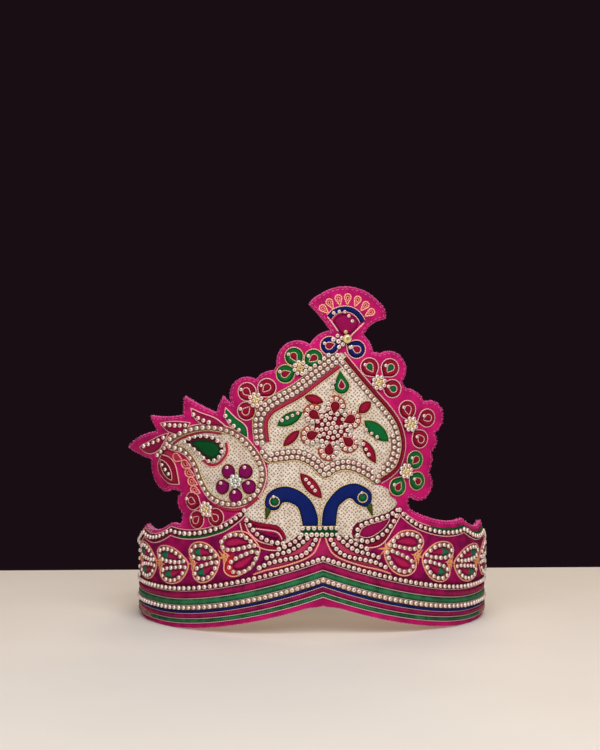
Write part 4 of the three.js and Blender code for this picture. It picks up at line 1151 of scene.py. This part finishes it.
def heart(side, lean, first, laid):
    """Heart of the garland: corded outline, and above and below its middle a ring of pearls round a core.

    The first heart on the left has a red bed behind it, and the first on the right a knot at its tip.
    """
    red_bedded = first and side == "left"
    edge_lean = RED_HEART_LEAN if red_bedded else lean
    edge = HEART_EDGE + [(x, -y) for x, y in HEART_EDGE[-2:0:-1]]
    outline = laid(spline(edge, 0.8, closed=True), edge_lean)
    gather(f"heart_outlines_{side}", cord(outline, ON_FIELD, radius=0.38, ring=True))
    if red_bedded:
        bed = laid(spline(HEART_BED, 0.8, closed=True), edge_lean)
        gather("heart_red_bed", pad(bed, FIELD_TOP - 0.2, height=0.8, reach=0.8))
    for up in (1, -1):
        ring, core, back = (laid(spline(np.multiply(points, (1, up)), 0.6, closed=True), lean)
                            for points in (HEART_RING, HEART_CORE, HEART_BACK))
        gather(f"heart_pearls_{side}", bead_row(ring, ON_FIELD, radius=1.05, closed=True))
        gather("heart_beds", ribbon(ring, width=1.9, seat=FIELD_TOP - 0.25, height=0.4, ring=True))
        gather("heart_cores", pad(core, FIELD_TOP - 0.2, height=1.2, pitch=0.6, reach=1.3))
        if not first:
            gather("heart_crescents", pad(back, FIELD_TOP, height=1.2, pitch=0.6, reach=1.2))
    for start, end, width in HEART_KNOT:
        for forward in (0, FIRST_KNOT_FORWARD) if first and side == "right" else (0,):
            arm = laid(lens((start, end), width) - (forward, 0), lean)
            gather("heart_knots", pad(arm, ON_FIELD, height=1.2, pitch=0.6, reach=0.9))


# Velvet fields with their top pearl rows, end rows and hearts
for side, sign in (("right", 1), ("left", -1)):
    front = np.array(FIELD_FRONT[sign])
    s = np.linspace(abs(front[0, 0]), HALF_GIRTH, 240)
    low_edge = pairs(sign * s, band_height(s, PEARL_ROW_MID) + 1.2)
    s = np.linspace(TOP_ROW_START - 3, HALF_GIRTH, 240)
    high_edge = pairs(sign * s, top_row(s) - 0.8)
    field = joined(walked(front, 1.2), high_edge, low_edge[::-1])
    field = pad(field, ON_FACE, height=FIELD_TOP - ON_FACE, pitch=2.4, reach=1.0)
    piece(f"velvet_field_{side}", [field], "magenta_cotton_velvet", "magenta_velvet", [f"band_field_{side}"])
    s = np.linspace(TOP_ROW_START, PEARLS_END, 300)
    lead = np.multiply([*TOP_ROW_LEAD, (s[0], top_row(s[0]))], (sign, 1))
    row = joined(spline(lead, 0.8)[:-1], pairs(sign * s, top_row(s)))
    bed = ribbon(row - (0, 0.3), width=3.0, seat=ON_FACE, height=0.5)
    piece(f"top_row_bed_{side}", [bed], "maroon_thread_bed", "crimson_satin")
    green = TOP_ROW_GREEN[side]
    at = np.abs(row[:, 0])
    sliver = row[(at > green["from"]) & (at < green["to"])] + (0, green["above"])
    sliver = ribbon(sliver, width=1.4, seat=FACE, height=0.9)
    piece(f"top_row_green_{side}", [sliver], "green_satin_stitch", "green_satin")
    piece(f"top_row_pearls_{side}", [bead_row(row, FACE + 0.35)], *PEARL, [f"pearls_top_{side}"])
    at = END_ROWS[side]
    upright = [(sign * at, band_height(at, PEARL_ROW_MID) + 2.6), (sign * at, top_row(at) - 2.6)]
    piece(f"end_row_pearls_{side}", [bead_row(upright, FACE + 0.35)], *PEARL)
    couch("field", row - (0, green["line"]), FIELD_TOP - 0.3, radius=0.28)
    couch("field", row[6:] + (0, 1.7), FACE, radius=0.24)
    tips = HEART_TIPS[side]
    for tip, next_tip, lean in zip(tips[:-1], tips[1:], HEART_LEANS):
        heart(side, lean, tip == tips[0], partial(on_garland, sign=sign, tip=tip, next_tip=next_tip))

# Grounds of the panel
dome_left, dome_right, dome_floor = (spline(points, 1.0) for points in (DOME_LEFT, DOME_RIGHT, DOME_FLOOR))
paisley = spline(PAISLEY, 1.0, closed=True)
for name, outline in (
    ("dome", joined(dome_left, dome_floor, dome_right[::-1])),
    ("peacock", spline(PEACOCK_GROUND, 1.0, closed=True)),
    ("paisley", paisley),
):
    ground = pad(outline, ON_FACE, height=GROUND_TOP - ON_FACE, pitch=1.2, reach=0.8)
    piece(f"couched_ground_{name}", [ground], "couched_silver_ground", "cream_ground", [f"{name}_ground"])

# Dome: ribs, gold lines, and pearl rows on thread beds
gather("crimson_ribs", ribbon(offset(dome_left, 4.6)[4:], width=1.75, seat=GROUND_TOP, height=1.3))
gather("crimson_pads", ribbon(offset(dome_right, -0.9)[2:], width=1.8, seat=GROUND_TOP, height=1.3))
couch("gold", offset(dome_left, 5.8)[5:], GROUND_TOP, radius=0.3)
couch("gold", offset(dome_left, -1.6)[14:], FACE, radius=0.28)
couch("rose_gold", offset(dome_right, 0.5), FACE, radius=0.34)
couch("gold", offset(dome_right, -2.0)[3:], GROUND_TOP, radius=0.26)
couch("gold", offset(dome_floor, -1.6), GROUND_TOP, radius=0.3)
third_row = offset(dome_left, -2.35)
third_row = third_row[(third_row[:, 0] > -8) & (third_row[:, 0] < 3)]
lower_right = offset(dome_right, -5.6)
lower_right = lower_right[lower_right[:, 1] < 92][:-4]
for part, path, seat, width in (
    ("left", dome_left[2:], GROUND_TOP, 2.7),
    ("left", offset(dome_left, 2.35)[2:], GROUND_TOP, 2.7),
    ("left", third_row, FACE, 2.7),
    ("right", offset(dome_right, -3.3)[3:], GROUND_TOP, 2.3),
    ("right", lower_right, GROUND_TOP, 2.7),
    ("floor", dome_floor, GROUND_TOP, 2.7),
    ("floor", offset(dome_floor, 2.4)[6:-4], GROUND_TOP, 2.7),
):
    pearl_row(f"dome_{part}_pearls", path, seat, width, "fawn_beds")

# Flower of the dome: red drops on a dark bed filled with pearls, and rust crescents round their outer ends
drops, spots = [], []
for petal in np.array(DOME_PETALS):
    out = heading_out(DOME_FLOWER, petal)
    core = drop(petal - 3.9 * out, petal, radius=2.25)
    drops.append(core)
    gather("dome_flower_drops", pad(core, GROUND_TOP + 0.5, height=1.4, pitch=0.6, reach=1.6))
    couch("copper", core, GROUND_TOP + 0.8, radius=0.24, ring=True)
    bed = drop(petal - 5.6 * out, petal, radius=3.9)
    gather("flower_beds", pad(bed, ON_GROUND, height=0.5, pitch=0.9, reach=0.8))
    turn = np.arctan2(out[1], out[0]) + np.linspace(-1.7, 0.5, 14)
    crescent = petal + 4.1 * pairs(np.cos(turn), np.sin(turn))
    gather("rust_pads", ribbon(crescent, width=1.7, seat=GROUND_TOP, height=1.0))
    ring = drop(petal - 5.2 * out, petal, radius=3.35, step=0.4)
    spots.append(walked(joined(ring, ring[:1]), 2.25)[1:-1])
gather("flower_beds", pad(circle(DOME_FLOWER, radius=7.6, steps=28), GROUND_TOP, height=0.5, pitch=1.2))
for reach, count in ((0.01, 1), (2.3, 6), (4.5, 12), (6.7, 17)):
    spots.append(circle(DOME_FLOWER, reach, count, turn=9))
turn, reach = rng.uniform(0, 2 * np.pi, 400), 8.6 * np.sqrt(rng.random(400))
spots.append(DOME_FLOWER + pairs(reach * np.cos(turn), reach * np.sin(turn)))
spots = np.concatenate(spots)
gaps = [np.where(inside(spots, core), 0, edge_distance(spots, core)) for core in drops]
flower_pearls = []
for spot in spots[np.min(gaps, axis=0) > 0.8]:
    if all(np.hypot(*(other - spot)) > 1.85 for other in flower_pearls):
        flower_pearls.append(spot)
gather("dome_flower_pearls", beads(flower_pearls, GROUND_TOP + 0.4, radius=1.05))

# Bud under the point of the dome
bud_tip, bud_middle = np.array(BUD["tip"]), np.array(BUD["middle"])
out = heading_out(bud_tip, bud_middle)
bud_core = drop(bud_middle - 3.2 * out, bud_middle - 0.2 * out, radius=1.5)
gather("green_pads", petal_pad(drop(bud_tip, bud_middle, BUD["radius"]), GROUND_TOP))
sew("crimson", bud_core, GROUND_TOP + 0.5, height=0.9, pitch=0.6, reach=1.2)
couch("rose_gold", bud_core, GROUND_TOP + 0.8, radius=0.22, ring=True)
couch("gold", drop(bud_tip, bud_middle, radius=BUD["radius"] + 0.3), GROUND_TOP, radius=0.28, ring=True)
bead(BUD["beads"], GROUND_TOP + 0.4, radius=0.95)


def leaf_grain(start, end):
    """Angle of the stitches of a leaf: slanting across the line between its tips."""
    along = np.subtract(end, start)
    return np.degrees(np.arctan2(along[1], along[0])) + LEAF_SLANT


# Leaves and almonds
for leaf in LEAVES:
    tips, width = leaf["tips"], leaf["width"]
    sew(leaf["thread"], lens(tips, width), ON_GROUND, reach=width / 2, grain=leaf_grain(*tips))
    couch("gold", lens(tips, width=width + 0.7, step=0.9), GROUND_TOP, radius=0.22, ring=True)
    if leaf["beads"]:
        bead(np.linspace(*leaf["beads"]), GROUND_TOP + 1.0, radius=0.9)
for leaf in BLADES:
    outline = blade(leaf["upper"], leaf["lower"])
    sew(leaf["thread"], outline, ON_FACE, reach=2.2, grain=leaf_grain(leaf["upper"][0], leaf["upper"][-1]))
    couch("rose_gold", outline, FACE, radius=0.3, ring=True)
    if leaf["beads"]:
        gather("motif_beads", bead_row(spline(leaf["beads"], 0.5), FACE + 0.9, radius=1.05))
sew("maroon", lens(ALMOND_CORE, width=5.4), FACE + 1.0, height=0.7, pitch=0.7, reach=1.4, grain=20)
couch("rose_gold", lens(ALMOND_CORE, width=5.6, step=0.8), FACE + 1.0, radius=0.24, ring=True)
bead(ALMOND_BEADS, FACE + 1.6, radius=0.9)

# Trefoils: padded petals, each with a small outlined drop and a bead, round a cluster of beads
for flower in TREFOILS:
    core = flower["core"]
    if flower["node"] != "trefoil_top":
        gather("thread_beds", pad(circle(core, radius=3.6, steps=18), FACE, height=0.6, pitch=0.9))
        gather("motif_beads", cluster(core, FACE + 0.4, rings=((2.7, 8),), radius=1.05))
        gather("gold_beads", cluster(core, FACE + 0.6, rings=((1.05, 4),), radius=0.95))
    metal = "gold" if flower["thread"] == "green" else "rose_gold"
    for petal in np.array(flower["petals"]):
        out = heading_out(core, petal)
        outline = drop(petal - 4.9 * out, petal, TREFOIL_PETAL)
        gather(f"{flower['thread']}_pads", petal_pad(outline, ON_FACE, height=PAD + 0.2))
        couch(metal, drop(petal - 5.4 * out, petal, TREFOIL_PETAL + 0.3), FACE, radius=0.27, ring=True)
        small = drop(petal - 2.8 * out, petal + 0.3 * out, radius=1.65, step=0.5)
        sew(flower["drop"], small, FACE + 0.5, height=0.9, pitch=0.5, reach=1.2)
        couch(metal, small, FACE + 0.75, radius=0.24, ring=True)
        bead([petal + (-2.4, 1.0)], FACE + 1.1, radius=0.85)

# Paisley: pearls round its edge, a green drop ringed by pearls, a flower, and a red crescent under it
closed_paisley = joined(paisley, paisley[:1])
pearl_row("paisley_pearls", closed_paisley[:-2], width=2.5, bed="fawn_beds")
pearl_row("paisley_pearls", np.array(PAISLEY_TAIL), FACE)
gather("crimson_ribs", ribbon(spline(PAISLEY_BAND, 0.8), width=1.0, seat=ON_GROUND, height=0.8))
couch("gold", offset(closed_paisley, -1.5)[6:-6], GROUND_TOP, radius=0.26)
couch("rose_gold", offset(closed_paisley, 1.7), FACE, radius=0.34)
drop_ring = spline(PAISLEY_DROP_RING, 0.6, closed=True)
gather("thread_beds", pad(drop_ring, ON_GROUND, height=0.5, pitch=0.9, reach=0.6))
sew("deep_green", spline(PAISLEY_DROP, 0.7, closed=True), GROUND_TOP, reach=2.4, grain=80)
gather("motif_beads", bead_row(drop_ring, GROUND_TOP + 0.3, radius=1.0, closed=True))
crescent = spline(PAISLEY_CRESCENT, 0.8)
gather("crimson_ribs", ribbon(crescent, width=1.3, seat=ON_GROUND, height=0.8))
couch("copper", offset(crescent, -0.8), GROUND_TOP, radius=0.28)
gather("silver_beads", cluster(PAISLEY_FLOWER, GROUND_TOP + 0.5, rings=((0.01, 1), (2.3, 7)), radius=1.15))
for petal in np.array(PAISLEY_PETALS):
    out = heading_out(PAISLEY_FLOWER, petal)
    sew("plum", drop(petal - 4 * out, petal, radius=3.35), ON_GROUND, height=1.4, pitch=0.7, reach=2)
    couch("gold", drop(petal - 4.3 * out, petal, radius=3.6), ON_GROUND, radius=0.22, ring=True)
    bead([petal + (0, 1.9)], GROUND_TOP + 1.0, radius=0.85)
gather("crimson_ribs", ribbon(spline(PAISLEY_UNDER, 0.8), width=1.6, seat=FACE, height=1.0))


def cord_loop(place, out, length, radius):
    """Open drop of cord with its round end outwards and a smaller loop inside it."""
    place, along = np.asarray(place, float), length * np.asarray(out, float)
    outer = drop(place - 0.62 * along, place + 0.12 * along, radius, step=0.6)
    inner = drop(place - 0.25 * along, place + 0.1 * along, 0.45 * radius, step=0.4)
    couch("copper", outer, FACE, radius=0.38, ring=True)
    couch("copper", inner, FACE, radius=0.2, ring=True)


# Cord loops beside the paisley
gather("crimson_ribs", pad(lens(LOOP_GROUND, width=4.2), ON_FACE, height=0.6, reach=0.9))
for place in SIDE_LOOPS:
    cord_loop(place, (-0.94, 0.34), length=5.6, radius=1.95)

# Peacocks: blue necks, green eyes in gold rings, beaks, collar and the line between them
for bird in PEACOCKS:
    neck, eye = spline(bird["neck"], 0.9, closed=True), bird["eye"]
    gather("peacock_necks", pad(neck, ON_GROUND, height=1.6, reach=2.4, grain=bird["grain"]))
    couch("gold", neck, GROUND_TOP, radius=0.34, ring=True)
    sew("green", circle(eye, radius=1.8, steps=14), GROUND_TOP + 1.2, height=0.7, pitch=0.6, reach=1.2)
    couch("gold", circle(eye, radius=2.2, steps=18), GROUND_TOP + 1.4, radius=0.28, ring=True)
    bead([np.add(eye, (-0.4, 2.2))], GROUND_TOP + 1.4, radius=0.75)
    beak = drop(*bird["beak"], 1.6)
    sew("olive", beak, ON_GROUND, height=1.4, pitch=0.6, reach=1.2)
    couch("gold", beak, GROUND_TOP, radius=0.24, ring=True)
couch("gold", walked(PEACOCK_LINE, 1), GROUND_TOP, radius=0.3)
gather("deep_green_pads", ribbon(walked(COLLAR_BAND, 1), width=5.8, seat=GROUND_TOP - 0.3, height=0.6))
gather("collar_pearls", *(bead_row(row, GROUND_TOP) for row in COLLAR_ROWS))

# Rose wings at the foot of the panel, and the velvet bib between them
for sign in (1, -1):
    wing = spline(np.multiply(ROSE_WING, (sign, 1)), 1.0, closed=True)
    sew("rose", wing, ON_FACE, height=0.7, pitch=1.0, reach=0.9, grain=70)
    for row in WING_ROWS:
        pearl_row("wing_pearls", spline(np.multiply(row, (sign, 1)), 0.6), FACE + 0.6)
    couch("copper", spline(np.multiply(WING_CORD, (sign, 1)), 0.9), FACE, radius=0.4)
half = spline(WING_CORD[:6], 0.9)
s = np.linspace(half[-1, 0], -half[-1, 0], 40)
foot = pairs(s, band_height(s, PEARL_ROW_MID) + 0.6)
bib = joined(half[:-1], foot, (half * (-1, 1))[-2::-1])
bib = pad(bib, ON_FACE, height=0.3, pitch=1.0, reach=0.5)
piece("bib_velvet", [bib], "deep_pink_cotton_velvet", "pink_velvet")

# Drops at the foot of the panel
for row in DROPS:
    core = spline(row["core"], 0.7, closed=True)
    sew("magenta", core, FACE + 0.3, height=1.2, pitch=0.7, reach=1.6)
    if row["ringed"]:
        couch("rose_gold", core, FACE + 0.4, radius=0.28, ring=True)
    for path in row["pearls"]:
        pearl_row("drop_pearls", spline(path, 0.6), FACE + 0.6)
    for width, path in row["strips"]:
        gather("crimson_pads", ribbon(spline(path, 0.8), width=width, seat=ON_FACE, height=1.0))
    for path in row["lines"]:
        couch("rose_gold", spline(path, 0.8), FACE + 0.3, radius=0.32)

# Finial fan
for place in FAN_LOOPS:
    cord_loop(place, heading_out(FAN_MIDDLE, place), length=4.9, radius=1.5)
fan_arc = spline(FAN_ARC, 0.8)
gather("blue_pads", ribbon(fan_arc, FAN_ARC_WIDTH, ON_FACE, PAD))
for sign in (-1, 1):
    couch("rose_gold", offset(fan_arc, sign * FAN_ARC_WIDTH / 2), FACE, radius=0.32)
sew("magenta", spline(FAN_SHIELD, 0.9, closed=True), ON_FACE, reach=2.4)
for path in FAN_LINES:
    couch("rose_gold", spline(path, 0.8), FACE, radius=0.36)
bead(FAN_BEADS, FACE + 1.0, radius=0.85)
bead(FAN_FOOT_PEARLS, FACE + 0.3, radius=1.05)
for s, z, radius in FAN_FOOT_GOLD:
    gather("gold_beads", beads([(s, z)], FACE + 0.3, radius))


def nodes_in(thread):
    """CAD nodes of the leaves and trefoils that are sewn in a thread."""
    return [row["node"] for row in LEAVES + BLADES + TREFOILS if row["thread"] == thread]


def stitch(name, *details):
    """Makes a piece from the parts gathered for it."""
    piece(name, gathered[name], *details)


# Gathered pieces, each with its finish and the CAD nodes that it stands for
for side in ("left", "right"):
    stitch(f"heart_outlines_{side}", "copper_zari_cord", "copper_cord", [f"heart_garland_{side}"])
    stitch(f"heart_pearls_{side}", *PEARL)
for part, thread, slot in (
    ("cores", "cerise", "magenta_satin"),
    ("crescents", "sea_green", "green_satin"),
    ("knots", "golden_orange", "copper_cord"),
    ("red_bed", "scarlet", "crimson_satin"),
):
    stitch(f"heart_{part}", f"{thread}_satin_stitch", slot, [], HEART_FILL)
for thread, slot, nodes in (
    ("crimson", "crimson_satin", [*nodes_in("crimson"), "dome_rib_right"]),
    ("green", "green_satin", [*nodes_in("green"), "dome_bud"]),
    ("deep_green", "green_satin", ["paisley_drop"]),
    ("olive", "green_satin", ["peacock_beak_left", "peacock_beak_right"]),
    ("magenta", "magenta_satin", ["drop_left", "drop_right", "fan_shield"]),
    ("plum", "magenta_satin", ["paisley_flower"]),
    ("wine", "magenta_satin", nodes_in("wine")),
    ("blue", "blue_satin", [*nodes_in("blue"), "fan_arc"]),
    ("rose", "rose_satin", ["rose_wing_left", "rose_wing_right"]),
    ("rust", "copper_cord", []),
):
    stitch(f"{thread}_pads", f"{thread}_satin_stitch", slot, nodes, PAD_FILL)
stitch("maroon_pads", "maroon_thread_bed", "crimson_satin", [], PAD_FILL)
necks = ["peacock_neck_left", "peacock_neck_right"]
stitch("peacock_necks", "blue_satin_stitch", "blue_satin", necks, PAD_FILL)
stitch("dome_flower_drops", "dark_crimson_satin_stitch", "crimson_satin", ["dome_flower"], PAD_FILL)
stitch("crimson_ribs", "rose_red_satin_stitch", "crimson_satin", ["dome_rib_left"])
stitch("flower_beds", "dark_crimson_satin_stitch", "crimson_satin")
stitch("thread_beds", "maroon_thread_bed", "crimson_satin")
stitch("fawn_beds", "fawn_thread_bed", "copper_cord")
stitch("heart_beds", "khaki_thread_bed", "copper_cord")
stitch("loose_threads", "salmon_thread_wrap", "copper_cord")
for metal in ("gold", "rose_gold", "copper"):
    stitch(f"{metal}_lines", f"{metal}_zari_cord", "copper_cord")
stitch("field_lines", "rose_gold_zari_cord", "copper_cord")
for metal in ("gold", "silver"):
    stitch(f"{metal}_beads", f"{metal}_lustre_acrylic", "pearl")
for name in ("motif_beads", "dome_flower_pearls", "drop_pearls"):
    stitch(name, *PEARL)
for name in ("dome_left", "dome_right", "dome_floor", "paisley", "collar"):
    stitch(f"{name}_pearls", *PEARL, [f"pearls_{name}"])
stitch("wing_pearls", *PEARL, ["pearls_wing_left", "pearls_wing_right"])


def table_top():
    """Slab with its face on the floor plane."""
    half, front, back = TABLE["half"], TABLE["front"], TABLE["back"]
    corners = [(x, y, z) for z in (0, -TABLE["deep"])
               for x, y in ((-half, front), (half, front), (half, back), (-half, back))]
    faces = [(0, 1, 2, 3), (7, 6, 5, 4), (0, 4, 5, 1), (1, 5, 6, 2), (2, 6, 7, 3), (3, 7, 4, 0)]
    mesh = bpy.data.meshes.new("table_top")
    mesh.from_pydata(corners, [], faces)
    return mesh


def painted_table(add):
    """Matt pale paint, a little uneven."""
    place = add("TexCoord", out="Object")
    patch = add("TexNoise", {"Vector": place, "Scale": per_metre(60), "Detail": 3.0})
    return patch, linear("#ece4dc"), linear("#f2ebe4"), None


# Table top, dark surround, lights and camera
table = bpy.data.objects.new("table_top", table_top())
table.data.materials.append(finish("matt_painted_table", painted_table, Roughness=0.75))
bpy.context.scene.collection.objects.link(table)

world = bpy.data.worlds.new("dark_studio")
world.use_nodes = True
world.node_tree.nodes["Background"].inputs["Color"].default_value = linear("#1a0e15")
world.node_tree.nodes["Background"].inputs["Strength"].default_value = 1.0
bpy.context.scene.world = world
bpy.context.scene.view_settings.view_transform = "Standard"

for row in LIGHTS:
    lamp = bpy.data.lights.new(row["name"], "AREA")
    lamp.size = row["size"]
    lamp.energy = row["power"]
    lamp.color = row["tint"]
    holder = bpy.data.objects.new(row["name"], lamp)
    holder.location = row["place"]
    holder.rotation_euler = (TARGET - Vector(row["place"])).to_track_quat("-Z", "Y").to_euler()
    bpy.context.scene.collection.objects.link(holder)

camera_data = bpy.data.cameras.new("camera")
camera_data.lens = CAMERA_LENS
camera_data.sensor_width = CAMERA_SENSOR
camera = bpy.data.objects.new("camera", camera_data)
camera.location = MM * Vector((
    RING_CENTRE[0] + CAMERA_DISTANCE * np.sin(CAMERA_AZIMUTH),
    RING_CENTRE[1] - CAMERA_DISTANCE * np.cos(CAMERA_AZIMUTH),
    CAMERA_HEIGHT,
))
heading = CAMERA_PAN - CAMERA_AZIMUTH
level = np.cos(CAMERA_TILT)
gaze = Vector((np.sin(heading) * level, np.cos(heading) * level, np.sin(CAMERA_TILT)))
camera.rotation_euler = gaze.to_track_quat("-Z", "Y").to_euler()
bpy.context.scene.collection.objects.link(camera)
bpy.context.scene.camera = camera
